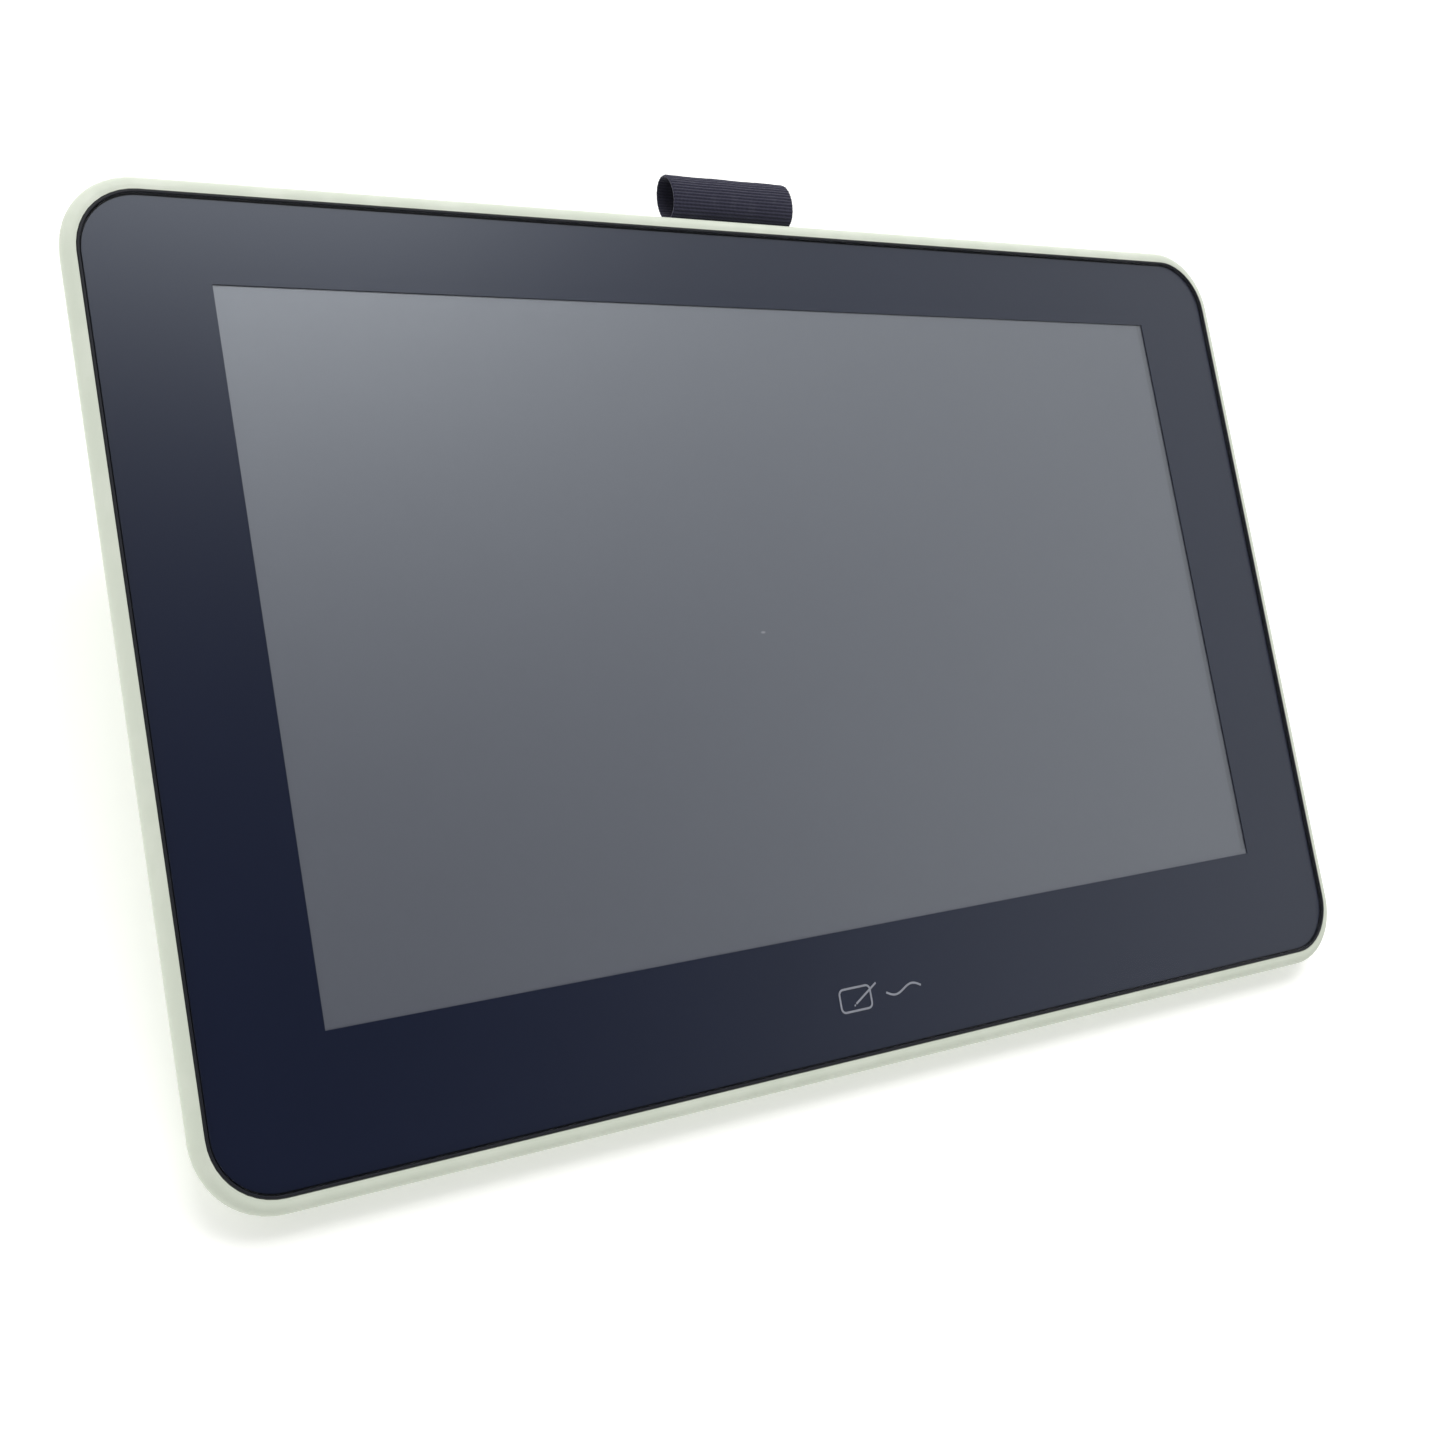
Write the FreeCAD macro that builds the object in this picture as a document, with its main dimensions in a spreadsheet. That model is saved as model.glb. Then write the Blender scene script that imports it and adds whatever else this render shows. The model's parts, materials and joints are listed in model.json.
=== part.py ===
# Pen display: a 13.3-inch drawing tablet with a screen, standing on its two fold-out legs.
#
# Every piece is drawn in the tablet's own flat position: x to the right, y up the screen and
# z out of the screen, with z = 0 on the rear cover's back face and x = y = 0 in its middle.
# At the end all of them are tipped back together onto the desk plane, so that the model's
# origin is on the desk, under the middle of its outer box.
import FreeCAD, Part
import math
import os
import re

import Sketcher
from FreeCAD import Placement, Rotation, Vector

# ---------------------------------------------------------------------------
# Driving dimensions, in mm and degrees: name, size, what it is
# ---------------------------------------------------------------------------
DIMENSIONS = (
    # outer body
    ("body_width", 357.0, "rear cover across its rim"),
    ("body_height", 225.0, "rear cover up and down its rim"),
    ("corner_radius", 18.0, "corners of the rim"),
    ("side_taper", 14.0, "lean of the side walls, degrees"),
    ("back_round", 8.0, "rounding between the side walls and the back"),
    ("rim_round", 2.4, "rounding of the rim's outer edge"),
    ("surround_bevel", 0.15, "bevel on the surround's two edges"),
    ("cover_wall", 1.8, "thickness of the cover's back"),
    ("lip_side", 2.8, "width of the pale rim, left and right"),
    ("lip_end", 3.4, "width of the pale rim, top and bottom"),
    ("floor_round", 6.2, "rounding inside the cover"),
    # how it stands
    ("desk_tilt", 19.0, "lean of the tablet on its legs, degrees"),
    # window
    ("bezel_side", 31.62, "rim edge to window, left and right"),
    ("bezel_top", 24.23, "rim edge to window, top"),
    ("bezel_bottom", 35.53, "rim edge to window, bottom"),
    # front glass and its surround
    ("glass_thickness", 1.1, "cover glass"),
    ("glass_bevel", 0.15, "bevel round the glass"),
    ("surround_gap", 0.15, "gap between the rim and the surround"),
    ("surround_width", 0.6, "visible width of the surround"),
    ("glass_gap", 0.2, "gap between the surround and the glass"),
    ("rim_drop", 0.4, "glass face above the rim"),
    ("surround_drop", 0.2, "glass face above the surround"),
    ("ink_thickness", 0.1, "black border printed behind the glass"),
    ("ink_margin", 0.3, "glass edge to the printed border"),
    ("tape_thickness", 0.4, "foam tape under the glass"),
    ("tape_width", 6.0, "foam tape across"),
    ("tape_setback", 0.6, "glass edge to the foam tape"),
    ("viewing_gap", 0.2, "air between the screen and the glass"),
    # screen
    ("polariser_thickness", 0.1, "front polariser"),
    ("polariser_border", 2.2, "polariser beyond the window"),
    ("cell_thickness", 1.1, "liquid crystal cell"),
    ("cell_border", 3.0, "cell beyond the window, sides and top"),
    ("cell_ledge", 7.5, "cell beyond the window, bottom"),
    ("diffuser_thickness", 0.45, "diffuser sheets"),
    ("guide_thickness", 0.8, "light guide"),
    ("guide_border", 1.0, "light guide beyond the window"),
    ("reflector_thickness", 0.15, "reflector sheet"),
    ("frame_border", 5.0, "backlight frame beyond the window"),
    ("frame_corner", 1.5, "backlight frame's outer corners"),
    ("frame_inner_corner", 0.6, "backlight frame's inner corners"),
    ("led_bar_width", 2.4, "strip that carries the backlight's LEDs"),
    ("led_bar_clearance", 0.2, "LED strip to the light guide"),
    ("led_bar_setback", 2.0, "LED strip's ends in from the window's sides"),
    ("sheet_clearance", 0.2, "loose sheets inside the backlight frame"),
    ("driver_thickness", 0.8, "screen driver board"),
    ("driver_length", 180.0, "screen driver board, along the screen"),
    ("driver_width", 10.0, "screen driver board, up and down"),
    ("driver_space", 3.3, "screen driver board below the cell"),
    ("flex_thickness", 0.12, "flexes between the cell and its driver board"),
    ("flex_length", 24.0, "each flex along the screen"),
    ("flex_pitch", 60.0, "flexes apart"),
    ("flex_lap", 4.0, "each flex over the driver board"),
    # pen sensor
    ("sensor_thickness", 0.5, "pen sensor board"),
    ("sensor_border", 6.0, "pen sensor board beyond the window"),
    ("shield_thickness", 0.1, "shield sheet under the sensor board"),
    ("opening_clearance", 1.5, "mid frame's opening round the sensor board"),
    ("lower_bay", 13.0, "rim edge to the mid frame's opening, bottom"),
    ("opening_corner", 2.0, "corners of the mid frame's opening"),
    # chassis
    ("plate_thickness", 0.6, "chassis plate"),
    ("plate_gap", 0.2, "chassis plate above the leg trays"),
    ("plate_clearance", 0.4, "chassis plate inside the cover"),
    ("boss_radius", 2.6, "bosses for the chassis screws"),
    ("post_radius", 2.4, "posts for the boards"),
    ("screw_radius", 0.95, "chassis and board screws, shank"),
    ("screw_head_radius", 1.9, "chassis and board screws, head"),
    ("screw_head_height", 0.8, "chassis and board screws, head"),
    ("chassis_screw_length", 4.6, "chassis screws, shank"),
    ("board_screw_length", 2.6, "board screws, shank"),
    ("socket_radius", 0.65, "driver socket in each screw"),
    ("screw_slack", 0.02, "pilot holes round the screws"),
    ("pilot_room", 0.2, "pilot holes past the screws' ends"),
    ("screw_clearance", 0.25, "holes in plates and boards round the screws"),
    ("screw_setback_side", 14.0, "side screws in from the rim"),
    ("screw_setback_end", 9.0, "top and bottom screws in from the rim"),
    ("side_screw_front", 16.5, "front side screws up from the bottom rim"),
    ("side_screw_back", 20.5, "back side screws down from the top rim"),
    ("bottom_screw_spread", 85.0, "bottom screws from the middle"),
    ("top_screw_spread", 100.0, "top screws from the middle"),
    ("button_screw_inset", 3.0, "button board's screws in from its edges"),
    ("cut_margin", 1.0, "how far a cut runs on past the face it opens"),
    # fold-out legs
    ("leg_spread", 115.0, "leg centres from the middle"),
    ("leg_width", 28.0, "leg across"),
    ("leg_thickness", 5.5, "leg through"),
    ("leg_round", 1.2, "rounding of the leg's long edges"),
    ("leg_sink", 0.25, "folded leg below the back face"),
    ("leg_play", 0.25, "folded leg to its detent spring"),
    ("hinge_setback", 32.5, "hinge axis in from the top rim"),
    ("recess_gap", 0.5, "recess round the leg"),
    ("stop_gap", 0.15, "open leg to the recess wall that stops it"),
    ("tray_side", 2.4, "recess side walls, which hold the hinge pin"),
    ("tray_wall", 1.2, "recess floor and end walls"),
    ("scoop_length", 11.0, "finger scoop past the leg's tip"),
    ("scoop_width", 18.0, "finger scoop across"),
    ("pin_radius", 1.0, "hinge pin"),
    ("pin_grip", 2.0, "hinge pin in each side wall"),
    ("pin_clearance", 0.05, "leg's bore round its pin"),
    ("tip_thickness", 2.0, "rubber tip under each leg"),
    ("tip_inset", 1.3, "rubber tip in from the leg's sides"),
    ("channel_width", 20.0, "hollow in the leg's inner face, across"),
    ("channel_depth", 3.4, "hollow in the leg's inner face"),
    ("channel_start", 12.0, "hinge axis to the hollow"),
    ("channel_end", 6.0, "hollow to the leg's tip"),
    ("detent_thickness", 0.3, "detent spring leaf"),
    ("detent_width", 16.0, "detent spring leaf, across"),
    ("detent_length", 8.0, "detent spring leaf, along"),
    ("detent_back", 2.0, "detent spring leaf behind the hinge axis"),
    # feet
    ("foot_height", 1.6, "rubber feet below the back face"),
    ("foot_inlay", 0.4, "rubber feet sunk into the cover"),
    ("foot_width", 9.0, "front feet, up and down"),
    ("foot_length", 110.0, "front feet, along the edge"),
    ("foot_setback", 8.5, "front feet in from the rim"),
    ("foot_bevel", 3.0, "width of the bevel that lies on the desk"),
    ("foot_spread", 95.0, "front feet centres from the middle"),
    ("rear_foot_length", 38.0, "rear feet, along the edge"),
    ("rear_foot_width", 6.0, "rear feet, up and down"),
    ("rear_foot_setback", 12.5, "rear feet in from the rim"),
    ("rear_foot_spread", 138.0, "rear feet centres from the middle"),
    # nib store in the right leg's recess
    ("holder_width", 16.0, "nib holder, across"),
    ("holder_length", 22.0, "nib holder, along"),
    ("holder_height", 2.6, "nib holder, up from the recess floor"),
    ("holder_setback", 26.0, "hinge axis to the nib holder"),
    ("holder_corner", 1.5, "corners of the nib holder"),
    ("holder_rim", 1.0, "nib holder past what it holds, at each end"),
    ("nib_radius", 0.85, "spare nib"),
    ("nib_length", 12.0, "spare nib"),
    ("nib_pitch", 2.8, "spare nibs apart"),
    ("nib_clearance", 0.05, "groove round a nib"),
    ("ring_radius", 3.2, "nib extractor ring, outer"),
    ("ring_hole", 1.3, "nib extractor ring, inner"),
    ("ring_height", 1.4, "nib extractor ring"),
    # main board
    ("board_left", -92.0, "main board's left edge"),
    ("board_width", 66.0, "main board across"),
    ("board_length", 41.0, "main board up and down"),
    ("board_setback", 8.5, "main board in from the top rim"),
    ("board_thickness", 1.0, "main board and button board"),
    ("post_inset", 4.0, "main board's screws in from its sides"),
    ("post_setback", 11.0, "main board's screws in from its front and back"),
    ("chip_height", 1.0, "chips"),
    ("processor_x", 12.0, "processor from the main board's left edge"),
    ("processor_y", 12.0, "processor from the main board's front edge"),
    ("processor_size", 9.0, "processor"),
    ("memory_x", 24.0, "memory from the main board's left edge"),
    ("memory_y", 11.0, "memory from the main board's front edge"),
    ("memory_size", 6.0, "memory"),
    ("regulator_x", 57.0, "voltage regulator from the main board's left edge"),
    ("regulator_y", 17.0, "voltage regulator from the main board's front edge"),
    ("regulator_size", 7.0, "voltage regulator"),
    ("bridge_x", 12.0, "display bridge from the main board's left edge"),
    ("bridge_y", 27.0, "display bridge from the main board's front edge"),
    ("bridge_size", 5.0, "display bridge"),
    ("can_x", 33.0, "shield can from the main board's left edge"),
    ("can_y", 12.0, "shield can from the main board's front edge"),
    ("can_height", 1.8, "shield can"),
    ("can_width", 20.0, "shield can across"),
    ("can_length", 16.0, "shield can up and down"),
    ("can_sheet", 0.2, "shield can's sheet"),
    ("socket_height", 1.5, "ribbon connectors"),
    ("socket_length", 4.0, "ribbon connectors, along the ribbon"),
    ("socket_wall", 1.0, "ribbon connectors past the ribbon, each side"),
    ("socket_setback", 1.0, "ribbon connectors in from the main board's front edge"),
    ("socket_slot", 1.5, "ribbons in from the connectors' front faces"),
    ("ribbon_thickness", 0.3, "ribbon cables"),
    ("ribbon_width", 18.0, "ribbon cables"),
    ("ribbon_window", 0.8, "plate windows round the ribbons"),
    ("ribbon_headroom", 0.2, "ribbons under the chassis plate"),
    ("sensor_ribbon_run", 9.0, "main board's front edge to the sensor ribbon's bend"),
    ("sensor_ribbon_lap", 4.0, "sensor ribbon along the sensor board"),
    ("display_ribbon_bend", 1.0, "display ribbon in front of the driver board"),
    ("display_ribbon_lap", 6.0, "display ribbon along the driver board"),
    ("display_ribbon_x", -60.0, "display ribbon's centre line"),
    ("sensor_ribbon_x", -38.0, "sensor ribbon's centre line"),
    # port
    ("port_headroom", 0.24, "port's shell under the chassis plate"),
    ("port_width", 8.94, "port's shell across"),
    ("port_height", 3.26, "port's shell through"),
    ("port_length", 8.6, "port's shell along"),
    ("port_sheet", 0.3, "port's shell, sheet"),
    ("port_overhang", 5.9, "port's mouth past the board"),
    ("port_back", 1.2, "port's back wall"),
    ("tongue_base", 1.4, "block that carries the port's tongue"),
    ("tongue_clearance", 0.05, "tongue's block inside the shell"),
    ("tongue_width", 6.2, "port's tongue across"),
    ("tongue_thickness", 0.7, "port's tongue through"),
    ("tongue_setback", 0.8, "port's tongue in from its mouth"),
    ("port_clearance", 0.3, "cover's hole round the port"),
    ("port_x", -48.0, "port's centre"),
    ("plug_recess_width", 13.4, "shallow recess for the plug, across"),
    ("plug_recess_height", 6.6, "shallow recess for the plug, through"),
    ("plug_recess_depth", 0.9, "shallow recess for the plug"),
    # power button and status light
    ("button_x", 62.0, "power button's centre"),
    ("button_width", 12.0, "power button across"),
    ("button_height", 2.8, "power button through"),
    ("button_gap", 0.15, "cover's hole round the button"),
    ("button_proud", 0.5, "power button out of the edge"),
    ("button_travel", 0.4, "power button's stroke"),
    ("button_play", 0.05, "switch to the button's stem after the stroke"),
    ("flange_overlap", 1.2, "button's flange past its cap"),
    ("flange_setback", 6.4, "button's flange in from the top rim"),
    ("flange_thickness", 1.0, "button's flange"),
    ("stem_length", 0.5, "button's stem"),
    ("stem_width", 3.0, "button's stem across"),
    ("stem_height", 1.6, "button's stem through"),
    ("switch_width", 6.0, "tact switch across"),
    ("switch_length", 3.6, "tact switch along the stroke"),
    ("switch_height", 2.8, "tact switch through"),
    ("plunger_length", 0.7, "tact switch's plunger"),
    ("plunger_width", 2.8, "tact switch's plunger across"),
    ("plunger_height", 1.4, "tact switch's plunger through"),
    ("button_board_width", 24.0, "button board across"),
    ("button_board_length", 12.0, "button board up and down"),
    ("button_board_lip", 0.2, "button board past its switch and its LED"),
    ("jumper_setback", 6.0, "cable between the two boards, from the button board's front"),
    ("jumper_width", 4.0, "cable between the two boards, across"),
    ("jumper_thickness", 0.2, "cable between the two boards"),
    ("jumper_clearance", 0.1, "cable between the two boards, above the cover"),
    ("jumper_start", 3.0, "cable in from the main board's right edge"),
    ("jumper_finish", 7.0, "cable in from the button board's left edge"),
    ("light_offset", 11.0, "status light from the power button"),
    ("light_radius", 0.9, "status light pipe"),
    ("light_gap", 0.02, "cover's hole round the light pipe"),
    ("light_tail", 1.2, "light pipe's end level with the button's flange and past it"),
    ("led_width", 1.6, "status LED across"),
    ("led_depth", 0.9, "status LED along the light pipe"),
    ("led_height", 1.8, "status LED above its board"),
    ("opening_reach", 6.65, "edge openings in from the cover's outer face"),
    # pen loop
    ("loop_length", 38.5, "pen loop along the edge"),
    ("fabric_thickness", 1.1, "pen loop's fabric"),
    ("loop_radius", 4.3, "pen loop's round end"),
    ("loop_rise", 13.0, "pen loop above the top rim"),
    ("loop_lean", 1.8, "pen loop's round end in front of its slot"),
    ("loop_crease", 0.3, "inside of the pen loop where its two layers meet"),
    ("root_setback", 0.6, "where the pen loop opens out, in from the top rim"),
    ("slot_clearance", 0.25, "cover's slot round the fabric"),
    ("rod_radius", 0.6, "rod that anchors the pen loop"),
    ("rod_clearance", 0.05, "fabric round the rod"),
    ("rod_setback", 7.3, "rod in from the top rim"),
    ("rod_overhang", 3.6, "rod past each end of the fabric"),
    ("saddle_gap", 1.0, "rod's saddles to the fabric"),
    ("saddle_wall", 0.2, "rod's saddles past the rod's ends"),
    ("saddle_front", 1.8, "rod's saddles in front of the rod"),
    ("saddle_back", 2.2, "rod's saddles behind the rod"),
    ("loop_headroom", 0.12, "fabric round the rod to the chassis plate"),
    ("edge_level", 1.87, "power button and status light below the chassis plate"),
)

doc = FreeCAD.newDocument("PenDisplay")
sheet = doc.addObject("Spreadsheet::Sheet", "Dims")
for row, (alias, size, meaning) in enumerate(DIMENSIONS, start=1):
    sheet.set(f"A{row}", meaning)
    sheet.set(f"B{row}", str(size))
    sheet.setAlias(f"B{row}", alias)
doc.recompute()

NAMES = re.compile(r"\b(" + "|".join(alias for alias, _, _ in DIMENSIONS) + r")\b")


def bound(expression):
    """The expression with each size's name pointing into the sheet."""
    return NAMES.sub(r"Dims.\1", str(expression))


def value(expression):
    """What the expression is worth with the sheet's present sizes."""
    return float(sheet.evalExpression(bound(expression)))


# ---------------------------------------------------------------------------
# Derived levels and places, as expressions of the sizes above
# ---------------------------------------------------------------------------
side = "(body_width / 2)"
end = "(body_height / 2)"
slope = "tan(side_taper * 1 deg)"
growth = f"(rim_round * ({slope} + 1 / cos(side_taper * 1 deg) - 1))"
tilt_sin = "sin(desk_tilt * 1 deg)"
tilt_cos = "cos(desk_tilt * 1 deg)"

# levels out of the screen, from the back of the legs' recess to the glass
recess_depth = "(leg_sink + leg_thickness + leg_play + detent_thickness)"
tray_top = f"({recess_depth} + tray_wall)"
plate_floor = f"({tray_top} + plate_gap)"
plate_top = f"({plate_floor} + plate_thickness)"
sensor_floor = f"({plate_top} + shield_thickness)"
module_floor = f"({sensor_floor} + sensor_thickness)"
guide_floor = f"({module_floor} + reflector_thickness)"
diffuser_floor = f"({guide_floor} + guide_thickness)"
cell_floor = f"({diffuser_floor} + diffuser_thickness)"
cell_top = f"({cell_floor} + cell_thickness)"
ink_floor = f"({cell_top} + polariser_thickness + viewing_gap)"
glass_floor = f"({ink_floor} + ink_thickness)"
glass_top = f"({glass_floor} + glass_thickness)"
rim_level = f"({glass_top} - rim_drop)"
surround_top = f"({glass_top} - surround_drop)"
ledge = f"({ink_floor} - tape_thickness)"

# the window and the mid frame's opening
window = {
    "left": f"(-{side} + bezel_side)",
    "right": f"({side} - bezel_side)",
    "bottom": f"(-{end} + bezel_bottom)",
    "top": f"({end} - bezel_top)",
}
opening = {
    "left": f"({window['left']} - sensor_border - opening_clearance)",
    "right": f"({window['right']} + sensor_border + opening_clearance)",
    "bottom": f"(-{end} + lower_bay)",
    "top": f"({window['top']} + sensor_border + opening_clearance)",
}

# legs, feet and the desk they stand on
hinge_y = f"({end} - hinge_setback)"
hinge_z = "(leg_sink + leg_thickness / 2)"
foot_front = f"(-{end} + foot_setback)"
desk_level = f"(({foot_front} + foot_bevel) * {tilt_sin} - foot_height * {tilt_cos})"
leg_front = f"({hinge_y} - leg_thickness / 2)"
leg_back = f"({hinge_y} + leg_thickness / 2)"
recess_half = "(leg_width / 2 + recess_gap)"


def desk_below(y):
    """The desk's level under a place up the tablet."""
    return f"(({desk_level} - ({y}) * {tilt_sin}) / {tilt_cos})"


leg_reach = f"({hinge_z} - {desk_below(leg_back)})"
recess_end = f"({hinge_y} - {leg_reach} - recess_gap)"
tip_rise = f"(tip_thickness / {tilt_cos})"

# boards, port, button and pen loop, which line up along the top edge
edge_line = f"({plate_floor} - edge_level)"
board_top = f"({plate_floor} - port_headroom - port_height)"
board_floor = f"({board_top} - board_thickness)"
board_right = "(board_left + board_width)"
board_back = f"({end} - board_setback)"
board_front = f"({board_back} - board_length)"
port_middle = f"({board_top} + port_height / 2)"
port_mouth = f"({board_back} + port_overhang)"
flange_back = f"({end} - flange_setback)"
stem_end = f"({flange_back} - flange_thickness - stem_length)"
switch_back = f"({stem_end} - button_travel - button_play - plunger_length)"
button_board_back = f"({switch_back} + button_board_lip)"
button_board_front = f"({button_board_back} - button_board_length)"
button_board_left = "(button_x - button_board_width / 2)"
rod_y = f"({end} - rod_setback)"
loop_root = f"({end} - root_setback)"
bulb_y = f"({end} + loop_rise - loop_radius)"
loop_level = f"({plate_floor} - loop_headroom - rod_radius - rod_clearance - fabric_thickness)"
bulb_z = f"({loop_level} + loop_lean)"


def wall_outer(level):
    """The cover's outer face at a level, up from the middle, on its top edge."""
    return f"({end} + {growth} - ({rim_level} - ({level})) * {slope})"


def inset(level, lip, gap):
    """How far in from the rim's edge a piece at this level lies inside the cover."""
    return f"({lip} + ({rim_level} - ({level})) * {slope} + ({gap}))"


# ---------------------------------------------------------------------------
# Outlines: each draws closed curves into a sketch and ties them to the sizes
# ---------------------------------------------------------------------------
def tie(sketch, kind, targets, expression):
    number = sketch.addConstraint(Sketcher.Constraint(kind, *targets, value(expression)))
    sketch.setExpression(f"Constraints[{number}]", bound(expression))


def tie_point(sketch, curve, which, x, y):
    tie(sketch, "DistanceX", (-1, 1, curve, which), x)
    tie(sketch, "DistanceY", (-1, 1, curve, which), y)


def polygon(sketch, corners):
    places = [Vector(value(x), value(y), 0) for x, y in corners]
    first = sketch.GeometryCount
    total = len(places)
    for number, place in enumerate(places):
        sketch.addGeometry(Part.LineSegment(place, places[(number + 1) % total]), False)
    for number in range(total):
        following = first + (number + 1) % total
        sketch.addConstraint(Sketcher.Constraint("Coincident", first + number, 2, following, 1))
    for number, (x, y) in enumerate(corners):
        tie_point(sketch, first + number, 1, x, y)


def rectangle(sketch, left, right, bottom, top):
    polygon(sketch, ((left, bottom), (right, bottom), (right, top), (left, top)))


def rectangles(sketch, boxes):
    for box in boxes:
        rectangle(sketch, *box)


def rounded_rectangle(sketch, left, right, bottom, top, radius):
    x0, x1, y0, y1, r = (value(part) for part in (left, right, bottom, top, radius))
    first = sketch.GeometryCount
    sides = (
        (x0 + r, y0, x1 - r, y0),
        (x1, y0 + r, x1, y1 - r),
        (x1 - r, y1, x0 + r, y1),
        (x0, y1 - r, x0, y0 + r),
    )
    for ax, ay, bx, by in sides:
        sketch.addGeometry(Part.LineSegment(Vector(ax, ay, 0), Vector(bx, by, 0)), False)
    centres = ((x1 - r, y0 + r, 270), (x1 - r, y1 - r, 0), (x0 + r, y1 - r, 90), (x0 + r, y0 + r, 180))
    for cx, cy, start in centres:
        circle = Part.Circle(Vector(cx, cy, 0), Vector(0, 0, 1), r)
        arc = Part.ArcOfCircle(circle, math.radians(start), math.radians(start + 90))
        sketch.addGeometry(arc, False)
    for number in range(4):
        line = first + number
        corner = first + 4 + number
        following = first + (number + 1) % 4
        sketch.addConstraint(Sketcher.Constraint("Tangent", line, 2, corner, 1))
        sketch.addConstraint(Sketcher.Constraint("Tangent", corner, 2, following, 1))
        sketch.addConstraint(Sketcher.Constraint(("Horizontal", "Vertical")[number % 2], line))
    for corner in (first + 5, first + 6):
        sketch.addConstraint(Sketcher.Constraint("Equal", first + 4, corner))
    tie(sketch, "Radius", (first + 4,), radius)
    tie(sketch, "DistanceY", (-1, 1, first, 1), bottom)
    tie(sketch, "DistanceX", (-1, 1, first + 1, 1), right)
    tie(sketch, "DistanceY", (-1, 1, first + 2, 1), top)
    tie(sketch, "DistanceX", (-1, 1, first + 3, 1), left)


def ring_outline(sketch, outer, inner):
    rounded_rectangle(sketch, *outer)
    rounded_rectangle(sketch, *inner)


def circles(sketch, centres, radius):
    for x, y in centres:
        circle = Part.Circle(Vector(value(x), value(y), 0), Vector(0, 0, 1), value(radius))
        number = sketch.addGeometry(circle, False)
        tie_point(sketch, number, 3, x, y)
        tie(sketch, "Radius", (number,), radius)


# a slot's round ends stop just short of half its height, so its short sides still exist
NEARLY_HALF = 0.499


def stadium(sketch, x, y, width, height):
    """A rounded slot, as wide and as high as named, about its middle."""
    half = f"({width}) / 2"
    rise = f"({height}) / 2"
    corners = (f"{x} - {half}", f"{x} + {half}", f"{y} - {rise}", f"{y} + {rise}")
    rounded_rectangle(sketch, *corners, f"({height}) * {NEARLY_HALF}")


def teardrop(sketch, small_centre, small_radius, big_centre, big_radius):
    """Two circles and the lines that touch both."""
    ax, ay = (value(part) for part in small_centre)
    bx, by = (value(part) for part in big_centre)
    small = value(small_radius)
    big = value(big_radius)
    heading = math.atan2(by - ay, bx - ax)
    lean = math.acos((small - big) / math.hypot(bx - ax, by - ay))
    up = heading + lean
    down = heading - lean

    def on(cx, cy, radius, angle):
        return Vector(cx + radius * math.cos(angle), cy + radius * math.sin(angle), 0)

    first = sketch.GeometryCount
    big_circle = Part.Circle(Vector(bx, by, 0), Vector(0, 0, 1), big)
    small_circle = Part.Circle(Vector(ax, ay, 0), Vector(0, 0, 1), small)
    sketch.addGeometry(Part.ArcOfCircle(big_circle, down, up), False)
    sketch.addGeometry(Part.LineSegment(on(bx, by, big, up), on(ax, ay, small, up)), False)
    sketch.addGeometry(Part.ArcOfCircle(small_circle, up, down + 2 * math.pi), False)
    sketch.addGeometry(Part.LineSegment(on(ax, ay, small, down), on(bx, by, big, down)), False)
    for number in range(4):
        following = first + (number + 1) % 4
        sketch.addConstraint(Sketcher.Constraint("Tangent", first + number, 2, following, 1))
    tie_point(sketch, first, 3, *big_centre)
    tie_point(sketch, first + 2, 3, *small_centre)
    tie(sketch, "Radius", (first,), big_radius)
    tie(sketch, "Radius", (first + 2,), small_radius)


# ---------------------------------------------------------------------------
# Features: pads and pockets between two levels along an axis of the tablet
# ---------------------------------------------------------------------------
sub_parts = []


def piece(name):
    body = doc.addObject("PartDesign::Body", name)
    body.Label = name
    sub_parts.append(body)
    return body


def sketch_on(body, plane, level):
    """A sketch across the z axis (XY), the x axis (YZ) or the y axis (XZ), at a level of it."""
    sketch = body.newObject("Sketcher::SketchObject", "Outline")
    role = plane + "_Plane"
    origin_plane = next(part for part in body.Origin.OriginFeatures if part.Role == role)
    sketch.AttachmentSupport = (origin_plane, [""])
    sketch.MapMode = "FlatFace"
    sign = "-" if plane == "XZ" else ""
    sketch.setExpression("AttachmentOffset.Base.z", bound(f"{sign}({level})"))
    return sketch


def settle(body, feature, before):
    """Recompute, and refuse a pad or pocket that changed nothing."""
    doc.recompute()
    if abs(feature.Shape.Volume - before) < 1e-6:
        raise ValueError(f"{body.Label}: {feature.Label} changes nothing")


def extrude(body, kind, plane, start, stop, draw, *sizes):
    before = body.Tip.Shape.Volume if body.Tip else 0.0
    sketch = sketch_on(body, plane, stop if plane == "XZ" else start)
    draw(sketch, *sizes)
    feature = body.newObject("PartDesign::" + kind, kind)
    feature.Profile = sketch
    feature.Reversed = kind == "Pocket"
    feature.setExpression("Length", bound(f"({stop}) - ({start})"))
    settle(body, feature, before)
    return feature


def pad(body, plane, start, stop, draw, *sizes):
    return extrude(body, "Pad", plane, start, stop, draw, *sizes)


def pocket(body, plane, start, stop, draw, *sizes):
    return extrude(body, "Pocket", plane, start, stop, draw, *sizes)


def tapered(body, kind, top, bottom, draw, *sizes):
    """A pad or pocket that narrows downwards with the lean of the cover's side walls."""
    before = body.Tip.Shape.Volume if body.Tip else 0.0
    sketch = sketch_on(body, "XY", top)
    draw(sketch, *sizes)
    feature = body.newObject("PartDesign::" + kind, kind)
    feature.Profile = sketch
    feature.Reversed = kind == "Pad"
    feature.setExpression("Length", bound(f"({top}) - ({bottom})"))
    feature.setExpression("TaperAngle", bound("-side_taper"))
    settle(body, feature, before)
    return feature


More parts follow.
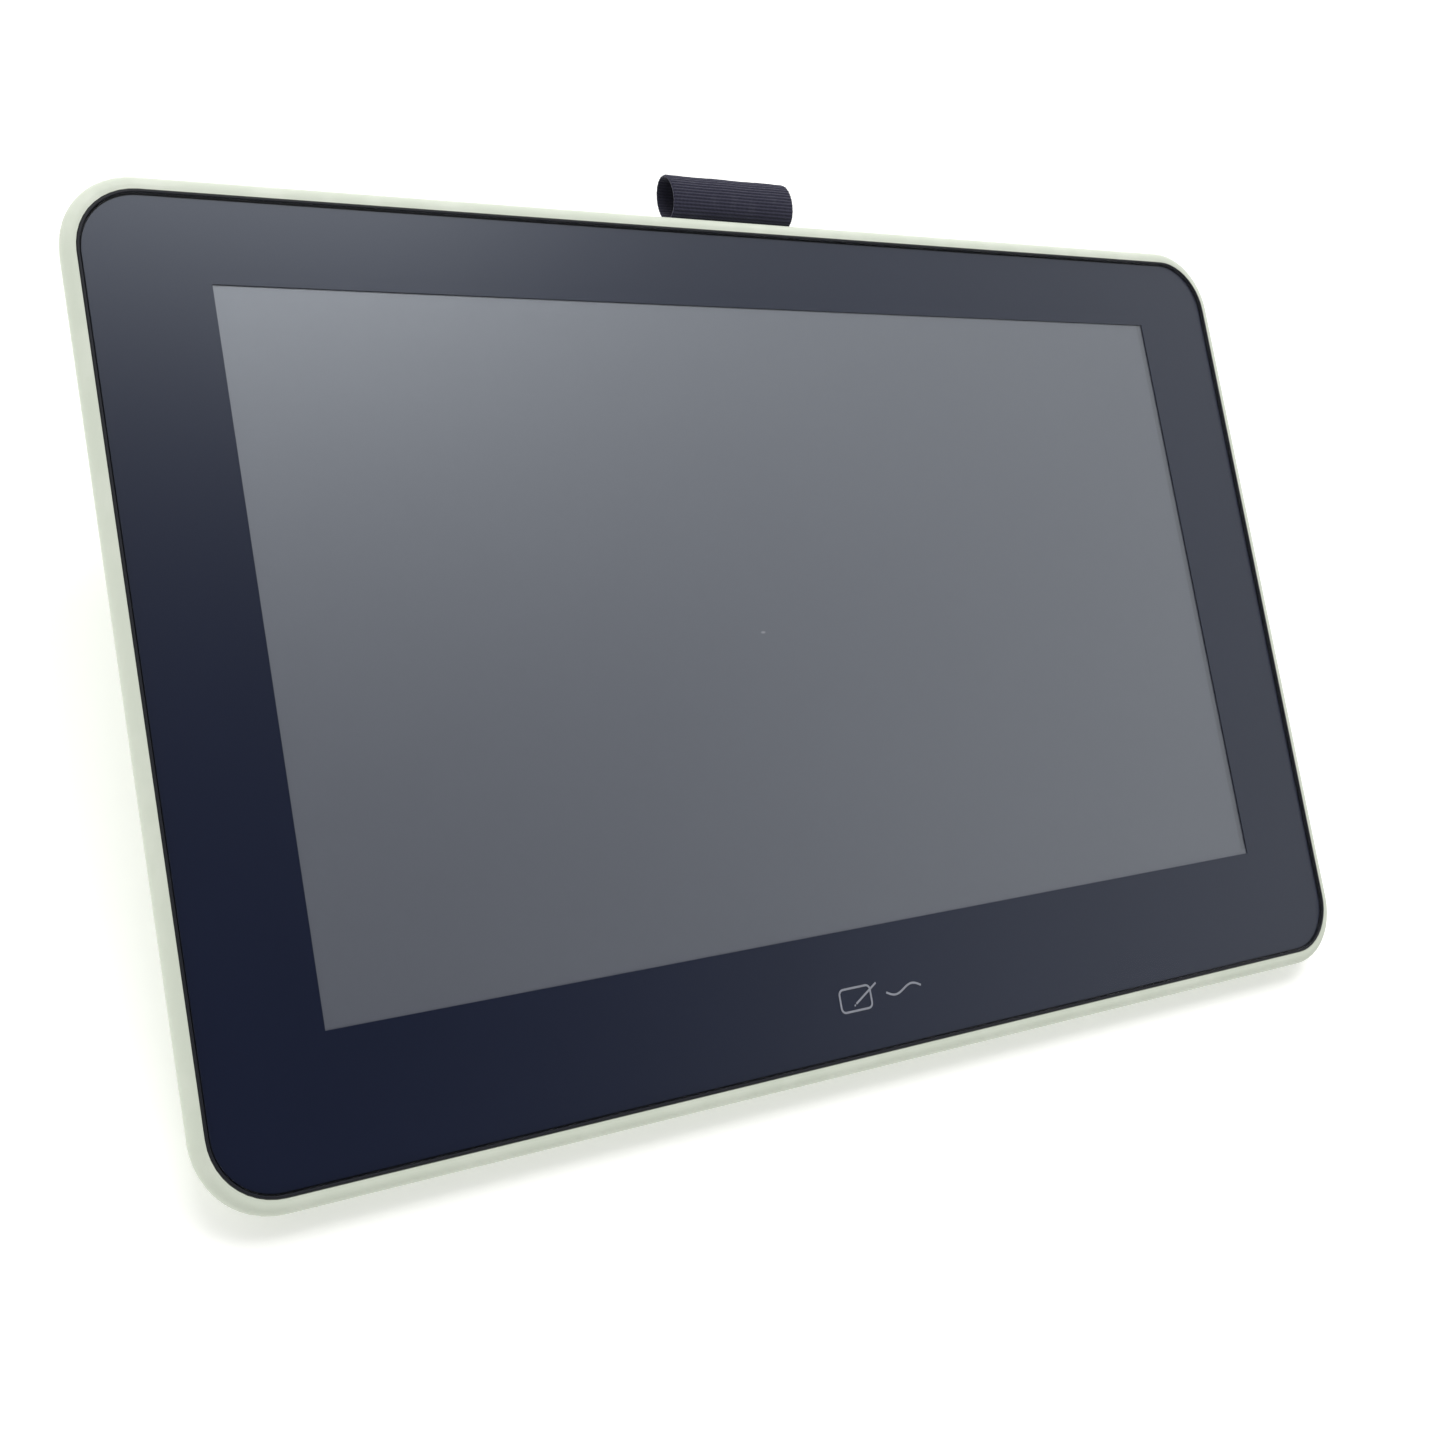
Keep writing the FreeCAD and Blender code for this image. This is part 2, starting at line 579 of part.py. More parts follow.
def round_edges(body, level, radius, kind="Fillet"):
    """Round or bevel the edges that lie flat at one level of the piece."""
    base = body.Tip
    height = value(level)
    names = []
    for number, edge in enumerate(base.Shape.Edges, start=1):
        box = edge.BoundBox
        if abs(box.ZMin - height) < 1e-4 and abs(box.ZMax - height) < 1e-4:
            names.append(f"Edge{number}")
    feature = body.newObject("PartDesign::" + kind, kind)
    feature.Base = (base, names)
    feature.setExpression("Radius" if kind == "Fillet" else "Size", bound(radius))
    settle(body, feature, base.Shape.Volume)


def plate(name, box, floor, top, radius=None):
    """A flat sheet or board, with square or rounded corners."""
    body = piece(name)
    if radius is None:
        pad(body, "XY", floor, top, rectangle, *box)
    else:
        pad(body, "XY", floor, top, rounded_rectangle, *box, radius)
    return body


def grown(box, sides, below=None):
    """A box that reaches past another: as far below as at the sides, or as far as named."""
    reach = sides if below is None else below
    return (
        f"({box['left']} - {sides})",
        f"({box['right']} + {sides})",
        f"({box['bottom']} - {reach})",
        f"({box['top']} + {sides})",
    )


def within_cover(level, gap):
    """The outline and corner radius of a piece that fills the cover at a level."""
    x_inset = inset(level, "lip_side", gap)
    y_inset = inset(level, "lip_end", gap)
    return (
        f"(-{side} + {x_inset})",
        f"({side} - {x_inset})",
        f"(-{end} + {y_inset})",
        f"({end} - {y_inset})",
        f"(corner_radius - {x_inset})",
    )


SIDES = (("left", "-"), ("right", ""))

chassis_screw_places = [
    (f"({sign}1) * ({side} - screw_setback_side)", y)
    for _, sign in SIDES
    for y in (f"(-{end} + side_screw_front)", "0", f"({end} - side_screw_back)")
]
chassis_screw_places += [
    (f"({sign}1) * bottom_screw_spread", f"(-{end} + screw_setback_end)") for _, sign in SIDES
]
chassis_screw_places += [
    (f"({sign}1) * top_screw_spread", f"({end} - screw_setback_end)") for _, sign in SIDES
]
main_board_screw_places = [
    (x, y)
    for x in ("(board_left + post_inset)", f"({board_right} - post_inset)")
    for y in (f"({board_front} + post_setback)", f"({board_back} - post_setback)")
]
button_board_screw_places = [
    (f"({button_board_left} + {x})", f"({button_board_front} + button_screw_inset)")
    for x in ("button_screw_inset", "button_board_width - button_screw_inset")
]
board_screw_places = main_board_screw_places + button_board_screw_places


# ---------------------------------------------------------------------------
# Rear cover: a tapered tray with leg recesses, bosses, posts and edge openings
# ---------------------------------------------------------------------------
def make_rear_cover():
    body = piece("rear_cover")
    # the walls' planes meet the rim's level this much outside the rim, which its rounding takes off
    outline = (f"-{side} - {growth}", f"{side} + {growth}", f"-{end} - {growth}", f"{end} + {growth}",
               f"corner_radius + {growth}")
    tapered(body, "Pad", rim_level, "0", rounded_rectangle, *outline)
    round_edges(body, "0", "back_round")
    round_edges(body, rim_level, "rim_round")
    cavity = within_cover(rim_level, "0")
    tapered(body, "Pocket", rim_level, "cover_wall", rounded_rectangle, *cavity)
    round_edges(body, "cover_wall", "floor_round")

    root = "(cover_wall / 2)"
    trays = []
    for _, sign in SIDES:
        centre = f"({sign}1) * leg_spread"
        trays.append((
            f"{centre} - {recess_half} - tray_side",
            f"{centre} + {recess_half} + tray_side",
            f"{recess_end} - scoop_length - tray_wall",
            f"{leg_back} + stop_gap + tray_wall",
        ))
    pad(body, "XY", root, tray_top, rectangles, trays)
    pad(body, "XY", root, plate_floor, circles, chassis_screw_places, "boss_radius")
    pad(body, "XY", root, board_floor, circles, board_screw_places, "post_radius")
    saddles = []
    for _, sign in SIDES:
        near = "(loop_length / 2 + saddle_gap)"
        far = "(loop_length / 2 + rod_overhang + saddle_wall)"
        left, right = (f"-{far}", f"-{near}") if sign else (near, far)
        saddles.append((left, right, f"{rod_y} - saddle_front", f"{rod_y} + saddle_back"))
    pad(body, "XY", root, f"{plate_floor} - plate_gap", rectangles, saddles)

    pilot = "(screw_radius + screw_slack)"
    depth = f"{plate_top} - chassis_screw_length - pilot_room"
    pocket(body, "XY", depth, plate_floor, circles, chassis_screw_places, pilot)
    depth = f"{board_top} - board_screw_length - pilot_room"
    pocket(body, "XY", depth, board_floor, circles, board_screw_places, pilot)
    rod_half = "(loop_length / 2 + rod_overhang)"
    pocket(body, "YZ", f"-{rod_half}", rod_half, circles, [(rod_y, loop_level)], "rod_radius")

    recesses = []
    scoops = []
    for _, sign in SIDES:
        centre = f"({sign}1) * leg_spread"
        recesses.append((f"{centre} - {recess_half}", f"{centre} + {recess_half}",
                         recess_end, f"{leg_back} + stop_gap"))
        scoops.append((f"{centre} - scoop_width / 2", f"{centre} + scoop_width / 2",
                       f"{recess_end} - scoop_length", f"{recess_end} + cut_margin"))
    pocket(body, "XY", "0", recess_depth, rectangles, recesses)
    pocket(body, "XY", "0", recess_depth, rectangles, scoops)
    for _, sign in SIDES:
        centre = f"({sign}1) * leg_spread"
        reach = f"({recess_half} + pin_grip)"
        pocket(body, "YZ", f"{centre} - {reach}", f"{centre} + {reach}",
               circles, [(hinge_y, hinge_z)], "pin_radius")

    pocket(body, "XY", "0", "foot_inlay", rectangles, [foot_box(sign) for _, sign in SIDES])
    pocket(body, "XY", "0", "foot_inlay", rectangles, [rear_foot_box(sign) for _, sign in SIDES])

    outside = f"({end} + cut_margin)"
    inside = f"({wall_outer(edge_line)} - opening_reach)"
    slot_width = "loop_length + 2 * slot_clearance + 2 * fabric_thickness"
    slot_height = "2 * fabric_thickness + 2 * slot_clearance"
    pocket(body, "XZ", inside, outside, stadium, "0", loop_level, slot_width, slot_height)
    pocket(body, "XZ", inside, outside, stadium, "port_x", port_middle,
           "port_width + 2 * port_clearance", "port_height + 2 * port_clearance")
    pocket(body, "XZ", f"{wall_outer(port_middle)} - plug_recess_depth", outside, stadium,
           "port_x", port_middle, "plug_recess_width", "plug_recess_height")
    pocket(body, "XZ", inside, outside, stadium, "button_x", edge_line,
           "button_width + 2 * button_gap", "button_height + 2 * button_gap")
    pocket(body, "XZ", inside, outside, circles, [("(button_x + light_offset)", edge_line)],
           "(light_radius + light_gap)")


def foot_box(sign):
    centre = f"({sign}1) * foot_spread"
    return (f"{centre} - foot_length / 2", f"{centre} + foot_length / 2",
            foot_front, f"{foot_front} + foot_width")


def rear_foot_box(sign):
    centre = f"({sign}1) * rear_foot_spread"
    top = f"({end} - rear_foot_setback)"
    return (f"{centre} - rear_foot_length / 2", f"{centre} + rear_foot_length / 2",
            f"{top} - rear_foot_width", top)


# ---------------------------------------------------------------------------
# Front: mid frame with its visible surround, tape, printed border and glass
# ---------------------------------------------------------------------------
glass_inset = "(surround_gap + surround_width + glass_gap)"
glass_box = (
    f"(-{side} + lip_side + {glass_inset})",
    f"({side} - lip_side - {glass_inset})",
    f"(-{end} + lip_end + {glass_inset})",
    f"({end} - lip_end - {glass_inset})",
)
glass_radius = f"(corner_radius - lip_side - {glass_inset})"


def shrunk(box, amount):
    left, right, bottom, top = box
    return (f"({left} + {amount})", f"({right} - {amount})",
            f"({bottom} + {amount})", f"({top} - {amount})")


def make_front():
    body = piece("mid_frame")
    outer = within_cover(rim_level, "surround_gap")
    tapered(body, "Pad", rim_level, plate_top, rounded_rectangle, *outer)
    pad(body, "XY", rim_level, surround_top, rounded_rectangle, *outer)
    seat = shrunk(glass_box, "(-glass_gap)")
    pocket(body, "XY", ledge, surround_top, rounded_rectangle, *seat, f"({glass_radius} + glass_gap)")
    round_edges(body, surround_top, "surround_bevel", kind="Chamfer")
    hole = tuple(opening.values())
    pocket(body, "XY", plate_top, ledge, rounded_rectangle, *hole, "opening_corner")
    head = "(screw_head_radius + screw_clearance)"
    above = f"({plate_top} + screw_head_height + screw_clearance)"
    pocket(body, "XY", plate_top, above, circles, chassis_screw_places, head)

    body = piece("glass_tape")
    reach = "(tape_setback + tape_width)"
    outer = (*shrunk(glass_box, "tape_setback"), f"({glass_radius} - tape_setback)")
    inner = (*shrunk(glass_box, reach), f"({glass_radius} - {reach})")
    pad(body, "XY", ledge, ink_floor, ring_outline, outer, inner)

    body = piece("ink_border")
    ink = shrunk(glass_box, "ink_margin")
    pad(body, "XY", ink_floor, glass_floor, rounded_rectangle, *ink, f"({glass_radius} - ink_margin)")
    pocket(body, "XY", ink_floor, glass_floor, rectangle, *window.values())

    body = plate("cover_glass", glass_box, glass_floor, glass_top, glass_radius)
    round_edges(body, glass_top, "glass_bevel", kind="Chamfer")


# ---------------------------------------------------------------------------
# Screen and pen sensor
# ---------------------------------------------------------------------------
def make_screen():
    plate("polariser", grown(window, "polariser_border"),
          cell_top, f"{cell_top} + polariser_thickness")
    plate("lcd_cell", grown(window, "cell_border", "cell_ledge"), cell_floor, cell_top)
    sheets = grown(window, "guide_border")
    plate("diffuser_sheets", sheets, diffuser_floor, cell_floor)
    plate("light_guide", sheets, guide_floor, diffuser_floor)
    plate("reflector_sheet", sheets, module_floor, guide_floor)

    body = piece("backlight_frame")
    outer = grown(window, "frame_border", "(frame_border + led_bar_width)")
    inner = grown(window, "(guide_border + sheet_clearance)",
                  "(guide_border + sheet_clearance + led_bar_width + led_bar_clearance)")
    pad(body, "XY", module_floor, cell_floor, rounded_rectangle, *outer, "frame_corner")
    pocket(body, "XY", module_floor, cell_floor, rounded_rectangle, *inner, "frame_inner_corner")

    lamp_top = f"({window['bottom']} - guide_border - led_bar_clearance - sheet_clearance)"
    lamps = (f"({window['left']} + led_bar_setback)", f"({window['right']} - led_bar_setback)",
             f"({lamp_top} - led_bar_width)", lamp_top)
    plate("led_bar", lamps, guide_floor, diffuser_floor)

    board = driver_box()
    plate("driver_board", board, f"{cell_floor} - flex_thickness - driver_thickness",
          f"{cell_floor} - flex_thickness")
    body = piece("driver_flexes")
    flexes = []
    reach = f"({window['bottom']} - frame_border - led_bar_width)"
    for number in (-1, 0, 1):
        middle = f"({number}) * flex_pitch"
        flexes.append((f"{middle} - flex_length / 2", f"{middle} + flex_length / 2",
                       f"({board[3]} - flex_lap)", reach))
    pad(body, "XY", f"{cell_floor} - flex_thickness", cell_floor, rectangles, flexes)

    sensor = grown(window, "sensor_border")
    plate("sensor_board", sensor, sensor_floor, module_floor)
    body = plate("sensor_shield", sensor, plate_top, sensor_floor)
    pocket(body, "XY", plate_top, sensor_floor, rectangle, *ribbon_window_box())


def driver_box():
    top = f"({window['bottom']} - cell_ledge - driver_space)"
    return ("(-driver_length / 2)", "(driver_length / 2)", f"({top} - driver_width)", top)


# ---------------------------------------------------------------------------
# Chassis plate and the screws through it
# ---------------------------------------------------------------------------
def ribbon_window_box():
    """The window that lets the sensor ribbon through the plate and the shield."""
    middle = "sensor_ribbon_x"
    wide = "(ribbon_width / 2 + ribbon_window)"
    back = sensor_ribbon_back()
    return (f"{middle} - {wide}", f"{middle} + {wide}",
            f"({back} - sensor_ribbon_lap - ribbon_window)", f"({back} + ribbon_window)")


def sensor_ribbon_back():
    return f"({board_front} - sensor_ribbon_run)"


def display_window_box():
    """The window that lets the display ribbon through the plate."""
    middle = "display_ribbon_x"
    wide = "(ribbon_width / 2 + ribbon_window)"
    front = display_ribbon_front()
    return (f"{middle} - {wide}", f"{middle} + {wide}",
            f"({front} - ribbon_window)", f"({front} + ribbon_thickness + ribbon_window)")


def display_ribbon_front():
    return f"({driver_box()[2]} - display_ribbon_bend)"


def make_chassis():
    *box, radius = within_cover(plate_floor, "plate_clearance")
    body = plate("chassis_plate", box, plate_floor, plate_top, radius)
    hole = "(screw_radius + screw_clearance)"
    pocket(body, "XY", plate_floor, plate_top, circles, chassis_screw_places, hole)
    windows = [ribbon_window_box(), display_window_box()]
    pocket(body, "XY", plate_floor, plate_top, rectangles, windows)
    make_screws("chassis_screws", chassis_screw_places, plate_top, "chassis_screw_length")


def make_screws(name, places, seat, length):
    """A group of pan-head screws with a driver socket, each a solid of its own."""
    body = piece(name)
    pad(body, "XY", f"{seat} - {length}", seat, circles, places, "screw_radius")
    pad(body, "XY", seat, f"{seat} + screw_head_height", circles, places, "screw_head_radius")
    pocket(body, "XY", f"{seat} + screw_head_height / 2", f"{seat} + screw_head_height",
           circles, places, "socket_radius")


# ---------------------------------------------------------------------------
# Electronics
# ---------------------------------------------------------------------------
def make_electronics():
    board = ("board_left", board_right, board_front, board_back)
    body = plate("main_board", board, board_floor, board_top)
    hole = "(screw_radius + screw_clearance)"
    pocket(body, "XY", board_floor, board_top, circles, main_board_screw_places, hole)

    body = piece("board_chips")
    chips = []
    for chip in ("processor", "memory", "regulator", "bridge"):
        left = f"(board_left + {chip}_x)"
        front = f"({board_front} + {chip}_y)"
        chips.append((left, f"{left} + {chip}_size", front, f"{front} + {chip}_size"))
    pad(body, "XY", board_top, f"{board_top} + chip_height", rectangles, chips)

    body = piece("shield_can")
    left = "(board_left + can_x)"
    front = f"({board_front} + can_y)"
    right = f"({left} + can_width)"
    back = f"({front} + can_length)"
    pad(body, "XY", board_top, f"{board_top} + can_height", rectangle, left, right, front, back)
    pocket(body, "XY", board_top, f"{board_top} + can_height - can_sheet", rectangle,
           *shrunk((left, right, front, back), "can_sheet"))

    body = piece("ribbon_sockets")
    sockets = []
    for middle in ("display_ribbon_x", "sensor_ribbon_x"):
        wide = "(ribbon_width / 2 + socket_wall)"
        sockets.append((f"{middle} - {wide}", f"{middle} + {wide}",
                        socket_front(), f"{socket_front()} + socket_length"))
    pad(body, "XY", board_top, f"{board_top} + socket_height", rectangles, sockets)

    make_port()
    make_ribbons()
    make_button()


def socket_front():
    return f"({board_front} + socket_setback)"


def make_port():
    body = piece("port_shell")
    start = f"({port_mouth} - port_length)"
    pad(body, "XZ", start, port_mouth, stadium, "port_x", port_middle, "port_width", "port_height")
    root = f"({start} + port_back)"
    pocket(body, "XZ", root, port_mouth, stadium, "port_x", port_middle,
           "port_width - 2 * port_sheet", "port_height - 2 * port_sheet")

    body = piece("port_tongue")
    half = "(port_width / 2 - port_height / 2)"
    rise = "(port_height / 2 - port_sheet - tongue_clearance)"
    pad(body, "XZ", root, f"{root} + tongue_base", rectangle,
        f"port_x - {half}", f"port_x + {half}", f"{port_middle} - {rise}", f"{port_middle} + {rise}")
    half = "(tongue_width / 2)"
    rise = "(tongue_thickness / 2)"
    pad(body, "XZ", root, f"{port_mouth} - tongue_setback", rectangle,
        f"port_x - {half}", f"port_x + {half}", f"{port_middle} - {rise}", f"{port_middle} + {rise}")


def ribbon(name, middle, runs):
    """A flat cable folded at right angles: each run is a rectangle seen from the side."""
    body = piece(name)
    left = f"{middle} - ribbon_width / 2"
    right = f"{middle} + ribbon_width / 2"
    for run in runs:
        pad(body, "YZ", left, right, rectangle, *run)


def make_ribbons():
    low = f"({plate_floor} - ribbon_headroom - ribbon_thickness)"
    down = f"({board_top} + socket_height)"
    front = display_ribbon_front()
    under = f"({cell_floor} - flex_thickness - driver_thickness)"
    start = f"({socket_front()} + socket_slot)"
    ribbon("display_ribbon", "display_ribbon_x", (
        (front, f"{front} + display_ribbon_lap", f"{under} - ribbon_thickness", under),
        (front, f"{front} + ribbon_thickness", low, under),
        (front, f"{start} + ribbon_thickness", low, f"{low} + ribbon_thickness"),
        (start, f"{start} + ribbon_thickness", down, f"{low} + ribbon_thickness"),
    ))
    back = sensor_ribbon_back()
    ribbon("sensor_ribbon", "sensor_ribbon_x", (
        (f"{back} - sensor_ribbon_lap", back, f"{sensor_floor} - ribbon_thickness", sensor_floor),
        (f"{back} - ribbon_thickness", back, low, sensor_floor),
        (f"{back} - ribbon_thickness", f"{start} + ribbon_thickness", low, f"{low} + ribbon_thickness"),
        (start, f"{start} + ribbon_thickness", down, f"{low} + ribbon_thickness"),
    ))

    body = piece("button_ribbon")
    near = f"({button_board_front} + jumper_setback)"
    left = f"({board_right} - jumper_start)"
    right = f"({button_board_left} + jumper_finish)"
    floor = "(cover_wall + jumper_clearance)"
    runs = (
        (left, right, floor, f"{floor} + jumper_thickness"),
        (left, f"{left} + jumper_thickness", floor, board_floor),
        (f"{right} - jumper_thickness", right, floor, board_floor),
    )
    for run in runs:
        pad(body, "XZ", near, f"{near} + jumper_width", rectangle, *run)


def make_button():
    right = f"({button_board_left} + button_board_width)"
    board = (button_board_left, right, button_board_front, button_board_back)
    body = plate("button_board", board, board_floor, board_top)
    hole = "(screw_radius + screw_clearance)"
    pocket(body, "XY", board_floor, board_top, circles, button_board_screw_places, hole)

    body = piece("tact_switch")
    pad(body, "XY", board_top, f"{board_top} + switch_height", rectangle,
        "button_x - switch_width / 2", "button_x + switch_width / 2",
        f"{switch_back} - switch_length", switch_back)
    pad(body, "XZ", switch_back, f"{switch_back} + plunger_length", stadium,
        "button_x", edge_line, "plunger_width", "plunger_height")

    body = piece("power_button")
    face = f"({wall_outer(edge_line)} + button_proud)"
    flange_front = f"({flange_back} - flange_thickness)"
    middle = ("button_x", edge_line)
    pad(body, "XZ", flange_back, face, stadium, *middle, "button_width", "button_height")
    pad(body, "XZ", flange_front, flange_back, stadium, *middle,
        "button_width + 2 * flange_overlap", "button_height")
    pad(body, "XZ", stem_end, flange_front, stadium, *middle, "stem_width", "stem_height")

    body = piece("light_pipe")
    lamp = "(button_x + light_offset)"
    pad(body, "XZ", f"{flange_back} - light_tail", wall_outer(edge_line),
        circles, [(lamp, edge_line)], "light_radius")

    lamp_back = f"({button_board_back} - button_board_lip)"
    plate("status_led", (f"{lamp} - led_width / 2", f"{lamp} + led_width / 2",
                         f"{lamp_back} - led_depth", lamp_back),
          board_top, f"{board_top} + led_height")

    make_screws("board_screws", board_screw_places, board_top, "board_screw_length")


# ---------------------------------------------------------------------------
# Legs, their tips, pins and detent springs; the nib store; the feet
# ---------------------------------------------------------------------------
def make_leg(name, sign):
    centre = f"({sign}1) * leg_spread"
    left = f"({centre} - leg_width / 2)"
    right = f"({centre} + leg_width / 2)"

    body = piece(f"leg_{name}")
    pad(body, "YZ", left, right, circles, [(hinge_y, hinge_z)], "(leg_thickness / 2)")
    far_end = f"({desk_below(leg_back)} + {tip_rise})"
    pad(body, "XY", far_end, hinge_z, rounded_rectangle,
        left, right, leg_front, leg_back, "leg_round")
    below = f"{far_end} - cut_margin"
    front = f"{leg_front} - cut_margin"
    back = f"{leg_back} + cut_margin"
    pocket(body, "YZ", f"{left} - cut_margin", f"{right} + cut_margin", polygon, (
        (front, below),
        (back, below),
        (back, f"{desk_below(back)} + {tip_rise}"),
        (front, f"{desk_below(front)} + {tip_rise}"),
    ))
    pocket(body, "XZ", leg_front, f"{leg_front} + channel_depth", rectangle,
           f"{centre} - channel_width / 2", f"{centre} + channel_width / 2",
           f"{desk_below(leg_front)} + {tip_rise} + channel_end", f"{hinge_z} - channel_start")
    pocket(body, "YZ", left, right, circles, [(hinge_y, hinge_z)], "(pin_radius + pin_clearance)")

    body = piece(f"leg_tip_{name}")
    pad(body, "YZ", f"{left} + tip_inset", f"{right} - tip_inset", polygon, (
        (leg_front, f"{desk_below(leg_front)} + {tip_rise}"),
        (leg_front, desk_below(leg_front)),
        (leg_back, desk_below(leg_back)),
        (leg_back, f"{desk_below(leg_back)} + {tip_rise}"),
    ))

    body = piece(f"leg_pin_{name}")
    reach = f"({recess_half} + pin_grip)"
    pad(body, "YZ", f"{centre} - {reach}", f"{centre} + {reach}",
        circles, [(hinge_y, hinge_z)], "pin_radius")

    leaf_back = f"({hinge_y} + detent_back)"
    leaf = (f"{centre} - detent_width / 2", f"{centre} + detent_width / 2",
            f"{leaf_back} - detent_length", leaf_back)
    plate(f"leg_detent_{name}", leaf, f"{recess_depth} - detent_thickness", recess_depth)


def make_nib_store():
    """Three spare nibs and their extractor ring in a rubber block under the right leg."""
    centre = "leg_spread"
    back = f"({hinge_y} - holder_setback)"
    front = f"({back} - holder_length)"
    floor = f"({recess_depth} - holder_height)"
    body = piece("nib_holder")
    pad(body, "XY", floor, recess_depth, rounded_rectangle,
        f"{centre} - holder_width / 2", f"{centre} + holder_width / 2", front, back, "holder_corner")
    nib_level = f"({floor} + nib_radius)"
    places = [(f"({centre} + ({number}) * nib_pitch)", nib_level) for number in (-1, 0, 1)]
    nib_start = f"({front} + holder_rim)"
    nib_end = f"({nib_start} + nib_length)"
    grooves = []
    for x, _ in places:
        wide = "(nib_radius + nib_clearance)"
        grooves.append((f"{x} - {wide}", f"{x} + {wide}", nib_start, f"{nib_end} + nib_clearance"))
    pocket(body, "XY", floor, f"{nib_level} + nib_radius + nib_clearance", rectangles, grooves)
    ring_place = [(centre, f"({back} - ring_radius - holder_rim)")]
    pocket(body, "XY", floor, f"{floor} + ring_height", circles, ring_place,
           "(ring_radius + nib_clearance)")

    body = piece("spare_nibs")
    pad(body, "XZ", nib_start, nib_end, circles, places, "nib_radius")

    body = piece("nib_extractor")
    pad(body, "XY", floor, f"{floor} + ring_height", circles, ring_place, "ring_radius")
    pocket(body, "XY", floor, f"{floor} + ring_height", circles, ring_place, "ring_hole")


def make_feet():
    for name, sign in SIDES:
        left, right, front, back = foot_box(sign)
        body = piece(f"front_foot_{name}")
        pad(body, "YZ", left, right, polygon, (
            (front, "foot_inlay"),
            (front, f"-foot_height + foot_bevel * {tilt_sin} / {tilt_cos}"),
            (f"{front} + foot_bevel", "-foot_height"),
            (back, "-foot_height"),
            (back, "foot_inlay"),
        ))
        plate(f"rear_foot_{name}", rear_foot_box(sign), "-foot_height", "foot_inlay")


# ---------------------------------------------------------------------------
# Pen loop: one band of fabric that holds the pen and closes round a hidden rod
# ---------------------------------------------------------------------------
def make_pen_loop():
    body = piece("pen_loop")
    half = "(loop_length / 2)"
    root = (loop_root, loop_level)
    bulb = (bulb_y, bulb_z)
    fabric = "fabric_thickness"
    pad(body, "YZ", f"-{half}", half, teardrop, root, fabric, bulb, "loop_radius")
    pad(body, "YZ", f"-{half}", half, rectangle,
        rod_y, loop_root, f"{loop_level} - {fabric}", f"{loop_level} + {fabric}")
    turn = f"(rod_radius + rod_clearance + {fabric})"
    pad(body, "YZ", f"-{half}", half, circles, [(rod_y, loop_level)], turn)
    inner = f"(loop_radius - {fabric})"
    share = f"(loop_crease / {inner})"
    crease = (f"({loop_root} + ({bulb_y} - {loop_root}) * {share})", f"({loop_level} + loop_lean * {share})")
    pocket(body, "YZ", f"-{half}", half, teardrop, crease, "loop_crease", bulb, inner)
    pocket(body, "YZ", f"-{half}", half, circles, [(rod_y, loop_level)], "(rod_radius + rod_clearance)")

    body = piece("loop_rod")
    reach = "(loop_length / 2 + rod_overhang)"
    pad(body, "YZ", f"-{reach}", reach, circles, [(rod_y, loop_level)], "rod_radius")


make_rear_cover()
make_front()
make_screen()
make_chassis()
make_electronics()
for leg_name, leg_sign in SIDES:
    make_leg(leg_name, leg_sign)
make_nib_store()
make_feet()
make_pen_loop()

# ---------------------------------------------------------------------------
# Tip everything back onto the desk, with the origin under the middle of the box
# ---------------------------------------------------------------------------
lean = Rotation(Vector(1, 0, 0), value("desk_tilt"))
for body in sub_parts:
    body.Placement = Placement(Vector(0, 0, 0), lean)
doc.recompute()
boxes = [body.Shape.optimalBoundingBox(False, False) for body in sub_parts]
low = min(box.YMin for box in boxes)
high = max(box.YMax for box in boxes)
seat = Placement(Vector(0, -(low + high) / 2, -value(desk_level)), lean)
for body in sub_parts:
    body.Placement = seat
doc.recompute()

for thing in doc.Objects:
    if "Invalid" in thing.State or "Error" in thing.State:
        raise ValueError(f"{thing.Label}: {thing.State}")
for body in sub_parts:
    if body.Shape.isNull() or not body.Shape.isValid() or not body.Shape.Solids:
        raise ValueError(f"{body.Label}: the shape isn't a valid solid")

os.makedirs("parts", exist_ok=True)
for body in sub_parts:
    body.Shape.exportStep(f"parts/{body.Label}.step")

hinge = seat.multVec(Vector(value("leg_spread"), value(hinge_y), value(hinge_z)))
print(len(sub_parts), "pieces,", sum(len(body.Shape.Solids) for body in sub_parts), "solids")
print("seat", tuple(round(part, 4) for part in seat.Base), "lean", value("desk_tilt"))
print("hinge", tuple(round(part, 4) for part in hinge))
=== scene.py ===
# %% [markdown]
# # A pen display, finished in Blender
#
# The tablet arrives as a fixed set of machined and moulded pieces. Their shapes are settled, so
# this lesson gives them their plastics, glass, metals and boards, and adds what a machine
# drawing can't hold: a woven pen loop and the small printed mark under the screen.

import json
import math

import bmesh
import bpy
from mathutils import Euler, Matrix, Vector

